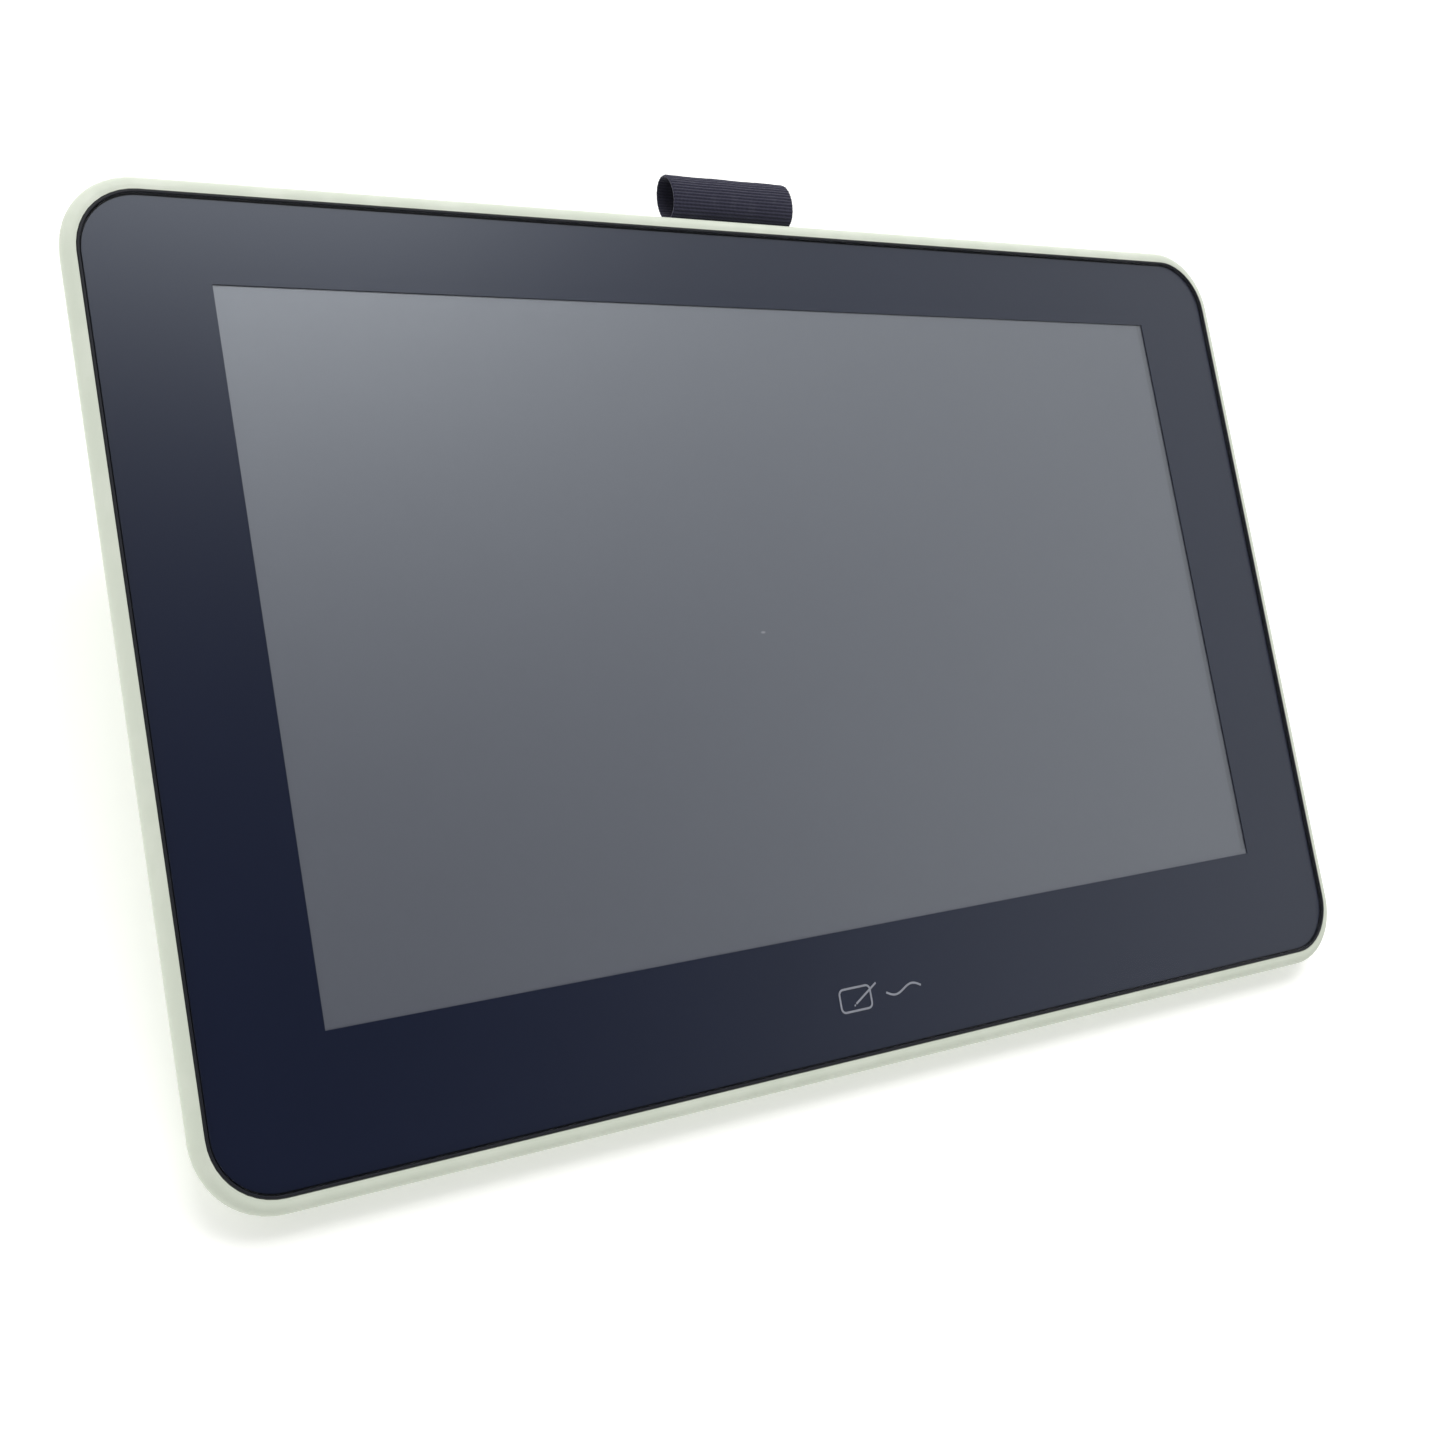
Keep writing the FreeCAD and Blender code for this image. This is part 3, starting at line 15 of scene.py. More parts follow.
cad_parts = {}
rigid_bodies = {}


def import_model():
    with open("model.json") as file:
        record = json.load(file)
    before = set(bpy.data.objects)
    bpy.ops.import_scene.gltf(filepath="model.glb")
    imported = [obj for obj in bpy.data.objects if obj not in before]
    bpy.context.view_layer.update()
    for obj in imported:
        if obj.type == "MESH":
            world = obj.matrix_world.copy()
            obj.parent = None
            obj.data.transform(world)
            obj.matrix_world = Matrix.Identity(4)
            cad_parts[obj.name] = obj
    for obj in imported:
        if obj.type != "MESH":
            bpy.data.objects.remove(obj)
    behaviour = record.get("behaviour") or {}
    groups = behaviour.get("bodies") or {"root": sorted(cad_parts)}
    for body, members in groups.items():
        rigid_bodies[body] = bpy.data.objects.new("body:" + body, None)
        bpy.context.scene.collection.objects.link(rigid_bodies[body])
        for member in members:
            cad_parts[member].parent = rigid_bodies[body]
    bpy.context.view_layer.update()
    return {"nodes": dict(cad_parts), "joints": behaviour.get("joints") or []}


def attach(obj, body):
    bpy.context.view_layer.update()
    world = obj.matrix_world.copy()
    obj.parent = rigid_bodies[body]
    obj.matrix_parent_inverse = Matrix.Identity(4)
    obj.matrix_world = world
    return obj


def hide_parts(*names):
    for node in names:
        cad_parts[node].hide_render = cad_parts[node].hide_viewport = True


for leftover in list(bpy.data.objects):
    bpy.data.objects.remove(leftover)
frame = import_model()
nodes = frame["nodes"]

# %% [markdown]
# ## The tablet's own directions
#
# The tablet leans back on its two legs. Grain, printed lines and the loop's weave follow the
# tablet, not the desk, so everything is placed along three directions of the tablet: across,
# up the screen, and out of the screen. The power button slides straight down the screen, and
# the left leg's hinge gives one known place, so both are read from the joints.

# %% Find the tablet's directions and the middle of its back
joints = {joint["name"]: joint for joint in frame["joints"]}
ACROSS = Vector((1, 0, 0))
UP_SCREEN = -Vector(joints["power_button_press"]["axis"]).normalized()
OUT = ACROSS.cross(UP_SCREEN)
LEAN = math.atan2(UP_SCREEN.z, UP_SCREEN.y)
MM = 0.001
HINGE = Vector((-115, 80, 3))


def along(x, y, z):
    """A direction of the tablet as a direction of the room."""
    return ACROSS * x + UP_SCREEN * y + OUT * z


MIDDLE = Vector(joints["leg_left_fold"]["pos_m"]) - along(*HINGE) * MM


def place(x, y, z):
    """A place on the tablet, in millimetres, as a place in the room, in metres."""
    return MIDDLE + along(x, y, z) * MM


print("leans back", round(math.degrees(LEAN), 2), "degrees; middle of the back at", tuple(MIDDLE))

# %% [markdown]
# ## Writing shaders as sums
#
# A material is a small machine of nodes. Dragging wires is slow to read, so a socket is wrapped
# in a class that knows plus, minus, times and so on: `1 - mask` then makes its own Math node.

# %% A wrapper for sockets
class Wire:
    """What one socket gives out, ready to be used in a sum."""

    def __init__(self, finish, socket):
        self.finish = finish
        self.socket = socket

    def sum(self, operation, *values):
        slots = ("Value", "Value_001", "Value_002")
        return self.finish.add("ShaderNodeMath", {"operation": operation}, dict(zip(slots, values)))

    def __add__(self, other):
        return self.sum("ADD", self, other)

    def __radd__(self, other):
        return self.sum("ADD", other, self)

    def __sub__(self, other):
        return self.sum("SUBTRACT", self, other)

    def __rsub__(self, other):
        return self.sum("SUBTRACT", other, self)

    def __mul__(self, other):
        return self.sum("MULTIPLY", self, other)

    def __rmul__(self, other):
        return self.sum("MULTIPLY", other, self)

    def __pow__(self, other):
        return self.sum("POWER", self, other)

    def __mod__(self, other):
        return self.sum("FLOORED_MODULO", self, other)

    def __abs__(self):
        return self.sum("ABSOLUTE", self)

    def __gt__(self, other):
        return self.sum("GREATER_THAN", self, other)

    def __lt__(self, other):
        return self.sum("LESS_THAN", self, other)


print("sums of sockets ready")

# %% [markdown]
# ## A material under construction
#
# Every kind of node but Math comes from one method, which sets the node up first and fills its
# sockets after. Some nodes, such as Mix, keep several sockets with one name for different kinds
# of value, so a socket may also be asked for by its identifier, which is always its own.

# %% A material, or the room's light, being made
class Finish:
    """A material, or the room's light, while it is being made."""

    def __init__(self, name, kind="materials"):
        self.material = getattr(bpy.data, kind).new(name)
        self.material.use_nodes = True
        self.tree = self.material.node_tree
        self.tree.nodes.clear()

    def add(self, kind, settings=None, inputs=None, output=None):
        """Any node: its settings first, then the values or wires of its sockets."""
        node = self.tree.nodes.new(kind)
        for name, setting in (settings or {}).items():
            setattr(node, name, setting)
        for key, given in (inputs or {}).items():
            socket = self.named(node.inputs, key)
            if isinstance(given, Wire):
                self.tree.links.new(given.socket, socket)
            else:
                socket.default_value = given
        if output is not None:
            return Wire(self, self.named(node.outputs, output))
        return Wire(self, node.outputs[0]) if node.outputs else None

    def named(self, sockets, word):
        return next(part for part in sockets if word in (part.identifier, part.name))


print("materials can be made")

# %% [markdown]
# ## Where a point is
#
# The boards, films and glass are drawn in millimetres from the middle of the tablet, so each
# material first turns Blender's own coordinates into those. Object coordinates travel with a
# piece when it moves, so a leg keeps its grain when it folds.

# %% Places and directions for finishes
def tablet_place(finish):
    """Where a point is on the tablet, in millimetres."""
    raw = finish.add("ShaderNodeTexCoord", output="Object")
    moved = finish.add("ShaderNodeVectorMath", {"operation": "SUBTRACT"},
                       {"Vector": raw, "Vector_001": MIDDLE})
    level = finish.add("ShaderNodeVectorRotate", {"rotation_type": "X_AXIS"},
                       {"Vector": moved, "Angle": -LEAN})
    return finish.add("ShaderNodeVectorMath", {"operation": "SCALE"},
                      {"Vector": level, "Scale": 1 / MM})


def split(finish, vector, parts="XYZ"):
    """A vector's parts, each as a number."""
    return [finish.add("ShaderNodeSeparateXYZ", inputs={"Vector": vector}, output=part) for part in parts]


def stretched(finish, vector, x, y, z):
    """The same place with each direction squeezed or stretched."""
    return finish.add("ShaderNodeVectorMath", {"operation": "MULTIPLY"},
                      {"Vector": vector, "Vector_001": (x, y, z)})


print("finishes know their place")

# %% [markdown]
# ## Grain, cells and stripes
#
# Nearly every pattern here is one of three kinds. Moulded and ground skins are soft random grain,
# printed dots and pores are cells, and tracks, wires and contacts are stripes. A stripe is only
# the remainder of a place divided by a pitch, compared with a share of that pitch.

# %% Patterns that most finishes share
def grain(finish, vector, pitch, detail=2.0):
    """Soft random variation, from 0 to 1, with lumps about one pitch apart."""
    return finish.add("ShaderNodeTexNoise", inputs={"Vector": vector, "Scale": 1 / pitch, "Detail": detail})


def cells(finish, vector, pitch, output="Distance"):
    """A pattern of small cells, one pitch across."""
    return finish.add("ShaderNodeTexVoronoi", inputs={"Vector": vector, "Scale": 1 / pitch}, output=output)


def ease(finish, number, low, high):
    """0 below low, 1 above high and a soft step between them."""
    return finish.add("ShaderNodeMapRange", {"interpolation_type": "SMOOTHSTEP"},
                      {"Value": number, "From Min": low, "From Max": high})


def stripes(number, pitch, share):
    """1 on a stripe and 0 between stripes; share is how much of the pitch is stripe."""
    return (number % pitch) < pitch * share


def between(number, low, high):
    """1 inside a span and 0 outside it."""
    return (number > low) * (number < high)


print("patterns ready")

# %% [markdown]
# ## Colour and surface
#
# Colours are mixed by a Mix node, because arithmetic on a colour would turn it grey. One
# Principled surface serves plastic, rubber, metal, film and board alike: the mixed colour, the
# gloss and a small bump tell them apart, and what is the same all over is set as a plain number.

# %% Mix, bump, shade and dress
def colour(red, green, blue):
    return (red, green, blue, 1.0)


def mixed(finish, share, first, second):
    """From the first colour to the second as share goes from 0 to 1."""
    return finish.add("ShaderNodeMix", {"data_type": "RGBA"},
                      {"Factor_Float": share, "A_Color": first, "B_Color": second}, "Result_Color")


def bumped(finish, height, depth):
    """A surface normal from a height of 0 to 1 that stands for a depth in millimetres."""
    return finish.add("ShaderNodeBump", inputs={"Height": height, "Distance": depth * MM, "Strength": 1.0})


def shade(finish, **sockets):
    """The surface itself: words in a socket's name are joined by underscores."""
    named = {key.replace("_", " "): given for key, given in sockets.items()}
    return finish.add("ShaderNodeBsdfPrincipled", inputs=named)


def close(finish, surface, kind="ShaderNodeOutputMaterial"):
    """Join the surface to the output, which ends the material."""
    finish.add(kind, inputs={"Surface": surface})
    return finish.material


def dress(material, *names):
    """Give the named pieces one finish."""
    for name in names:
        for slot in nodes[name].material_slots:
            slot.material = material
    print(material.name, "on", ", ".join(names))


print("surfaces ready")

# %% [markdown]
# ## Moulded cover
#
# The rear cover, the legs and the button are one pale, slightly green-grey plastic from a
# spark-eroded mould. Up close that skin is a fine random grain, so a noise far smaller than a
# fingertip drives both the bump and the gloss. Handling polishes the rim's outer edge a little.

# %% Pale moulded plastic
def make_cover_plastic():
    finish = Finish("cover_plastic_moulded")
    spot = tablet_place(finish)
    [z] = split(finish, spot, "Z")
    fine = grain(finish, spot, 0.32, 3.0)
    broad = grain(finish, spot, 70.0, 1.0)
    rim_wear = ease(finish, z, 10.5, 12.6) * ease(finish, grain(finish, spot, 9.0), 0.45, 0.7)
    base = mixed(finish, broad, colour(0.560, 0.608, 0.515), colour(0.590, 0.630, 0.543))
    base = mixed(finish, rim_wear * 0.35, base, colour(0.67, 0.70, 0.62))
    gloss = 0.56 + (fine - 0.5) * 0.18 - rim_wear * 0.14
    return close(finish, shade(finish, Base_Color=base, Roughness=gloss,
                               Normal=bumped(finish, fine, 0.012), Specular_IOR_Level=0.42))


dress(make_cover_plastic(), "rear_cover", "leg_left", "leg_right", "power_button")

# %% [markdown]
# ## Etched cover glass
#
# The front is one sheet of glass with an etched face, which a pen nib can grip. Etching blurs
# a reflection instead of removing it: the face shows soft clouds of light and the black border
# looks navy and grey. The glass is bonded to what lies behind it, so most of that soft gloss is
# given to the ink and the film themselves, where it costs the fewest light paths. The sheet
# itself is a mix of clear and mirror, clear from the front and brighter at a glancing angle.

# %% Etched glass
def make_glass():
    finish = Finish("cover_glass_etched")
    spot = tablet_place(finish)
    glance = finish.add("ShaderNodeLayerWeight", inputs={"Blend": 0.5}, output="Facing")
    outside = 1 - finish.add("ShaderNodeNewGeometry", output="Backfacing")
    share = (0.006 + (glance ** 5) * 0.6) * outside
    clear = finish.add("ShaderNodeBsdfTransparent", inputs={"Color": colour(0.97, 0.98, 0.985)})
    etch = grain(finish, spot, 0.3)
    tint = mixed(finish, etch, colour(0.92, 0.94, 0.97), colour(0.98, 0.99, 1.0))
    mirror = shade(finish, Base_Color=tint, Metallic=1.0, Roughness=0.28)
    return close(finish, finish.add("ShaderNodeMixShader",
                                    inputs={"Fac": share, "Shader": clear, "Shader_001": mirror}))


dress(make_glass(), "cover_glass")

# %% [markdown]
# ## Printed border, surround and foam
#
# The black border is ink on the back of the glass: very dark, a little blue, and even. Round
# the glass runs a thin charcoal moulding, whose bevel catches a line of light. Foam tape holds
# the glass down.

# %% Ink, charcoal moulding and foam
def make_ink():
    finish = Finish("border_ink")
    spot = tablet_place(finish)
    cloud = grain(finish, spot, 45.0, 2.0)
    base = mixed(finish, cloud, colour(0.0022, 0.0048, 0.0200), colour(0.0042, 0.0070, 0.0250))
    return close(finish, shade(finish, Base_Color=base, IOR=1.62, Roughness=0.28,
                               Specular_Tint=colour(0.88, 0.93, 1.0)))


def make_surround():
    finish = Finish("surround_plastic")
    spot = tablet_place(finish)
    fine = grain(finish, spot, 0.25, 2.0)
    base = mixed(finish, fine, colour(0.005, 0.006, 0.010), colour(0.010, 0.011, 0.017))
    return close(finish, shade(finish, Base_Color=base, Specular_IOR_Level=0.25,
                               Roughness=0.46 + fine * 0.12, Normal=bumped(finish, fine, 0.006)))


def make_foam():
    finish = Finish("foam_tape")
    spot = tablet_place(finish)
    pores = cells(finish, spot, 0.35)
    base = mixed(finish, pores, colour(0.012, 0.012, 0.013), colour(0.035, 0.035, 0.037))
    return close(finish, shade(finish, Base_Color=base, Roughness=0.95, Normal=bumped(finish, pores, 0.08)))


border_ink = make_ink()
dress(border_ink, "ink_border")
dress(make_surround(), "mid_frame")
dress(make_foam(), "glass_tape")

# %% [markdown]
# ## The screen when it is off
#
# An unlit screen isn't black. The polariser film is matt, and light that enters the cell comes
# back grey. The active dots stop a few millimetres before the film does, and that inactive
# margin shows at the right and at the bottom as a strip of another grey. A film also holds a
# faint weave of dots, far too fine to see one by one, which only softens the gloss. One pale
# fleck of dust lies on the film near the middle: a distance from its place draws it.

# %% Polariser film over the unlit cell
ACTIVE_RIGHT = 144.8
ACTIVE_BOTTOM = -75.6
FLECK = (-9.3, 1.75, 0.0)


def make_polariser():
    finish = Finish("polariser_film")
    spot = tablet_place(finish)
    x, y = split(finish, spot, "XY")
    cloud = grain(finish, spot, 90.0, 1.0)
    base = mixed(finish, cloud, colour(0.047, 0.049, 0.070), colour(0.057, 0.060, 0.080))
    base = mixed(finish, x > ACTIVE_RIGHT, base, colour(0.018, 0.018, 0.034))
    base = mixed(finish, y < ACTIVE_BOTTOM, base, colour(0.052, 0.053, 0.076))
    fleck = ease(finish, finish.add(
        "ShaderNodeVectorMath", {"operation": "DISTANCE"},
        {"Vector": stretched(finish, spot, 0.6, 1.3, 0.0), "Vector_001": FLECK},
        "Value"), 0.55, 0.25)
    base = mixed(finish, fleck * 0.5, base, colour(0.45, 0.45, 0.47))
    dots = grain(finish, spot, 0.2, 1.0)
    return close(finish, shade(finish, Base_Color=base, Roughness=0.43 + (dots - 0.5) * 0.06,
                               IOR=2.3, Specular_Tint=colour(0.92, 0.95, 1.0),
                               Coat_Weight=1.0, Coat_Roughness=0.28, Coat_IOR=1.5))


dress(make_polariser(), "polariser")

# %% [markdown]
# ## Behind the screen
#
# From front to back come the liquid crystal cell, with its lanes of copper along the lower edge,
# a stack of diffuser films and the light guide with its pattern of printed dots. None of it shows
# until someone opens the tablet, but each sheet still gets the look that tells it apart on a
# bench.

# %% Cell, diffuser films and light guide
LANES_BELOW = 1.5


def make_cell():
    finish = Finish("cell_glass")
    spot = tablet_place(finish)
    x, y = split(finish, spot, "XY")
    lanes = stripes(x, 0.9, 0.35) * (y < ACTIVE_BOTTOM - LANES_BELOW)
    base = mixed(finish, lanes, colour(0.035, 0.038, 0.045), colour(0.19, 0.18, 0.15))
    edge_tint = grain(finish, spot, 12.0)
    base = mixed(finish, edge_tint * 0.3, base, colour(0.05, 0.07, 0.07))
    return close(finish, shade(finish, Base_Color=base, Roughness=0.12 + edge_tint * 0.08, IOR=1.52,
                               Coat_Weight=0.5))


def make_diffuser():
    finish = Finish("diffuser_film")
    spot = tablet_place(finish)
    [x] = split(finish, spot, "X")
    prism = abs((x % 0.4) - 0.2) * 5
    base = mixed(finish, grain(finish, spot, 30.0), colour(0.80, 0.82, 0.84), colour(0.88, 0.89, 0.90))
    return close(finish, shade(finish, Base_Color=base, Roughness=0.42 + prism * 0.12,
                               Normal=bumped(finish, prism, 0.03)))


def make_guide():
    finish = Finish("light_guide_acrylic")
    spot = tablet_place(finish)
    printed = cells(finish, spot, 1.6) < 0.22
    base = mixed(finish, printed, colour(0.72, 0.78, 0.80), colour(0.93, 0.94, 0.94))
    return close(finish, shade(finish, Base_Color=base, Roughness=0.08 + printed * 0.4, IOR=1.49,
                               Coat_Weight=0.6))


dress(make_cell(), "lcd_cell")
dress(make_diffuser(), "diffuser_sheets")
dress(make_guide(), "light_guide")

# %% [markdown]
# ## The backlight's tray
#
# A silver reflector closes the back of the stack, a white frame holds it, and a strip of LEDs
# shines into the guide's lower edge. Each LED is a white case with a yellow face of phosphor, so
# two spans of one repeating pitch draw the whole row.

# %% Reflector, frame and LED strip
LED_PITCH = 5.0


def make_reflector():
    finish = Finish("reflector_film")
    spot = tablet_place(finish)
    ripple = grain(finish, spot, 14.0, 2.0)
    base = mixed(finish, ripple, colour(0.80, 0.81, 0.82), colour(0.92, 0.92, 0.91))
    return close(finish, shade(finish, Base_Color=base, Metallic=0.85, Roughness=0.22 + ripple * 0.12,
                               Normal=bumped(finish, ripple, 0.10)))


def make_white_plastic():
    finish = Finish("backlight_plastic")
    spot = tablet_place(finish)
    fine = grain(finish, spot, 0.5, 2.0)
    base = mixed(finish, grain(finish, spot, 40.0), colour(0.80, 0.80, 0.77), colour(0.86, 0.86, 0.84))
    return close(finish, shade(finish, Base_Color=base, Roughness=0.40 + fine * 0.15,
                               Normal=bumped(finish, fine, 0.01)))


def make_led_strip():
    finish = Finish("led_strip")
    spot = tablet_place(finish)
    [x] = split(finish, spot, "X")
    lamp = between(x % LED_PITCH, 1.2, 3.8)
    phosphor = between(x % LED_PITCH, 1.7, 3.3)
    base = mixed(finish, lamp, colour(0.62, 0.34, 0.10), colour(0.85, 0.85, 0.83))
    base = mixed(finish, phosphor, base, colour(0.90, 0.78, 0.22))
    return close(finish, shade(finish, Base_Color=base, Roughness=0.30 + lamp * 0.2,
                               Normal=bumped(finish, lamp, 0.15)))


dress(make_reflector(), "reflector_sheet")
dress(make_white_plastic(), "backlight_frame")
dress(make_led_strip(), "led_bar")

# %% [markdown]
# ## Circuit boards
#
# A board is copper under a coloured lacquer. Tracks show as slightly lighter, raised lanes, and
# the places left free for solder are tinned dots. Two sets of lanes that switch on and off over
# coarse cells read as routed tracks at any distance. The pen sensor is different: its tracks are
# long, even loops in both directions, one every few millimetres, on a blue lacquer.

# %% Green boards and the blue sensor board
SENSOR_PITCH = 4.0
SENSOR_TRACK = 0.09


def make_board(name, lacquer, track):
    finish = Finish(name)
    spot = tablet_place(finish)
    x, y = split(finish, spot, "XY")
    zone = cells(finish, stretched(finish, spot, 1.0, 1.0, 0.0), 6.0, "Color")
    lot = finish.add("ShaderNodeSeparateXYZ", inputs={"Vector": zone}, output="X")
    lanes_x = stripes(x, 0.8, 0.4) * (lot > 0.5)
    lanes_y = stripes(y, 0.8, 0.4) * (lot < 0.5) * (lot > 0.18)
    lanes = lanes_x + lanes_y
    pads = cells(finish, stretched(finish, spot, 1.0, 1.0, 0.0), 2.2) < 0.16
    base = mixed(finish, lanes, lacquer, track)
    base = mixed(finish, pads, base, colour(0.62, 0.60, 0.52))
    metal = pads * (abs(lot - 0.5) < 0.3)
    return close(finish, shade(finish, Base_Color=base, Roughness=0.34 - pads * 0.1, Metallic=metal,
                               Normal=bumped(finish, lanes * 0.5 + pads * 0.5, 0.04), Coat_Weight=0.2))


def make_sensor_board():
    finish = Finish("sensor_lacquer")
    spot = tablet_place(finish)
    x, y = split(finish, spot, "XY")
    down = stripes(x, SENSOR_PITCH, SENSOR_TRACK)
    level = stripes(y, SENSOR_PITCH, SENSOR_TRACK)
    loops = down + level - down * level
    base = mixed(finish, grain(finish, spot, 25.0), colour(0.010, 0.035, 0.11), colour(0.014, 0.045, 0.13))
    base = mixed(finish, loops * 0.8, base, colour(0.10, 0.16, 0.24))
    return close(finish, shade(finish, Base_Color=base, Roughness=0.36 + loops * 0.08,
                               Normal=bumped(finish, loops, 0.03), Coat_Weight=0.2))


GREEN = colour(0.010, 0.085, 0.035)
GREEN_TRACK = colour(0.030, 0.165, 0.065)
dress(make_board("board_lacquer_green", GREEN, GREEN_TRACK), "main_board", "button_board", "driver_board")
dress(make_sensor_board(), "sensor_board")

# %% [markdown]
# ## Parts on the boards
#
# Chips are black moulded epoxy with a faint grain. The shield can is tinned sheet with rolling
# lines. Ribbon cables are white with fine grey conductors, and the flexes to the cell are amber
# film with copper lanes.

# %% Chips, can, connectors, cables and the switch
def make_epoxy(name, dark, light, pitch):
    finish = Finish(name)
    spot = tablet_place(finish)
    fine = grain(finish, spot, pitch, 3.0)
    base = mixed(finish, fine, dark, light)
    return close(finish, shade(finish, Base_Color=base, Roughness=0.45 + fine * 0.2,
                               Normal=bumped(finish, fine, 0.015)))


def make_tinned():
    finish = Finish("tinned_sheet")
    spot = tablet_place(finish)
    rolled = grain(finish, stretched(finish, spot, 0.15, 4.0, 1.0), 0.8, 3.0)
    base = mixed(finish, rolled, colour(0.60, 0.60, 0.58), colour(0.76, 0.76, 0.74))
    return close(finish, shade(finish, Base_Color=base, Metallic=1.0, Roughness=0.26 + rolled * 0.16,
                               Normal=bumped(finish, rolled, 0.006)))


def make_cable(name, skin, wire, pitch):
    finish = Finish(name)
    spot = tablet_place(finish)
    [x] = split(finish, spot, "X")
    wires = stripes(x, pitch, 0.55)
    base = mixed(finish, wires, skin, wire)
    base = mixed(finish, grain(finish, spot, 8.0) * 0.2, base, skin)
    return close(finish, shade(finish, Base_Color=base, Roughness=0.38 + wires * 0.1,
                               Normal=bumped(finish, wires, 0.04)))


dress(make_epoxy("chip_epoxy", colour(0.012, 0.012, 0.013), colour(0.028, 0.028, 0.030), 0.3),
      "board_chips")
dress(make_epoxy("connector_plastic", colour(0.62, 0.58, 0.47), colour(0.72, 0.68, 0.57), 0.8),
      "ribbon_sockets")
dress(make_epoxy("switch_plastic", colour(0.02, 0.02, 0.022), colour(0.05, 0.05, 0.052), 0.5),
      "tact_switch")
dress(make_tinned(), "shield_can", "port_shell")
dress(make_cable("ribbon_cable", colour(0.80, 0.80, 0.78), colour(0.55, 0.56, 0.58), 1.0),
      "display_ribbon", "sensor_ribbon")
dress(make_cable("amber_flex", colour(0.52, 0.24, 0.04), colour(0.74, 0.42, 0.13), 0.6),
      "driver_flexes", "button_ribbon")

# %% [markdown]
# ## Port, pins and sheet metal
#
# The port's tongue is black with a row of gilded contacts. Screws, hinge pins and springs are
# plated steel. The chassis plate is rolled aluminium and the sheet behind the sensor is a soft
# foil: the same metal, brushed and crumpled.

# %% Contacts, steel, aluminium and foil
CONTACTS_FROM = 104.5


def make_tongue():
    finish = Finish("tongue_contacts")
    spot = tablet_place(finish)
    x, y = split(finish, spot, "XY")
    gilded = stripes(x + 0.12, 0.5, 0.5) * (y > CONTACTS_FROM)
    base = mixed(finish, gilded, colour(0.015, 0.015, 0.016), colour(0.83, 0.62, 0.26))
    return close(finish, shade(finish, Base_Color=base, Metallic=gilded, Roughness=0.42 - gilded * 0.18,
                               Normal=bumped(finish, gilded, 0.03)))


def make_metal(name, dark, light, squeeze, pitch, gloss, depth):
    finish = Finish(name)
    spot = stretched(finish, tablet_place(finish), *squeeze)
    lines = grain(finish, spot, pitch, 4.0)
    patches = grain(finish, spot, pitch * 25, 1.0)
    base = mixed(finish, lines, dark, light)
    return close(finish, shade(finish, Base_Color=base, Metallic=1.0,
                               Roughness=gloss + (lines - 0.5) * 0.14 + (patches - 0.5) * 0.1,
                               Normal=bumped(finish, lines, depth)))


steel = make_metal("plated_steel", colour(0.50, 0.50, 0.51), colour(0.66, 0.66, 0.66),
                   (1, 1, 1), 0.5, 0.28, 0.006)
rolled = make_metal("rolled_aluminium", colour(0.70, 0.71, 0.72), colour(0.84, 0.85, 0.85),
                    (0.05, 3, 1), 0.6, 0.34, 0.010)
foil = make_metal("shield_foil", colour(0.72, 0.72, 0.71), colour(0.86, 0.86, 0.85),
                  (1, 1, 1), 7.0, 0.20, 0.25)
dress(make_tongue(), "port_tongue")
dress(steel, "chassis_screws", "board_screws", "leg_pin_left", "leg_pin_right", "leg_detent_left",
      "leg_detent_right", "loop_rod", "nib_extractor")
dress(rolled, "chassis_plate")
dress(foil, "sensor_shield")

# %% [markdown]
# ## Rubber, nibs and the status light
#
# Feet, leg tips and the nib holder are grey rubber: no gloss, a fine tooth and paler scuffs
# where they rub on the desk. Spare nibs are hard dark plastic. The light pipe is frosted.

# %% Rubber, nib plastic, light pipe and lamp
LAMP_LEVEL = 5.1


def make_rubber():
    finish = Finish("foot_rubber")
    spot = tablet_place(finish)
    tooth = grain(finish, spot, 0.4, 3.0)
    scuff = ease(finish, grain(finish, stretched(finish, spot, 0.4, 1.6, 1.0), 5.0, 3.0), 0.56, 0.72)
    base = mixed(finish, tooth, colour(0.140, 0.145, 0.148), colour(0.185, 0.190, 0.192))
    base = mixed(finish, scuff * 0.35, base, colour(0.32, 0.33, 0.33))
    return close(finish, shade(finish, Base_Color=base, Roughness=0.84 + tooth * 0.1,
                               Normal=bumped(finish, tooth, 0.03)))


def make_nib_plastic():
    finish = Finish("nib_plastic")
    spot = tablet_place(finish)
    turned = grain(finish, stretched(finish, spot, 1.0, 6.0, 1.0), 1.2, 2.0)
    base = mixed(finish, turned, colour(0.030, 0.030, 0.032), colour(0.060, 0.060, 0.064))
    return close(finish, shade(finish, Base_Color=base, Roughness=0.30 + turned * 0.15,
                               Normal=bumped(finish, turned, 0.008)))


def make_frosted():
    finish = Finish("frosted_light_pipe")
    spot = tablet_place(finish)
    frost = grain(finish, spot, 0.15, 2.0)
    base = mixed(finish, frost, colour(0.70, 0.74, 0.74), colour(0.86, 0.88, 0.88))
    return close(finish, shade(finish, Base_Color=base, Roughness=0.35 + frost * 0.25, IOR=1.49,
                               Normal=bumped(finish, frost, 0.008)))


def make_lamp():
    finish = Finish("status_lamp")
    spot = tablet_place(finish)
    [z] = split(finish, spot, "Z")
    lens = ease(finish, abs(z - LAMP_LEVEL), 0.7, 0.5)
    base = mixed(finish, lens, colour(0.80, 0.80, 0.76), colour(0.92, 0.80, 0.30))
    return close(finish, shade(finish, Base_Color=base, Roughness=0.30 + (1 - lens) * 0.3))


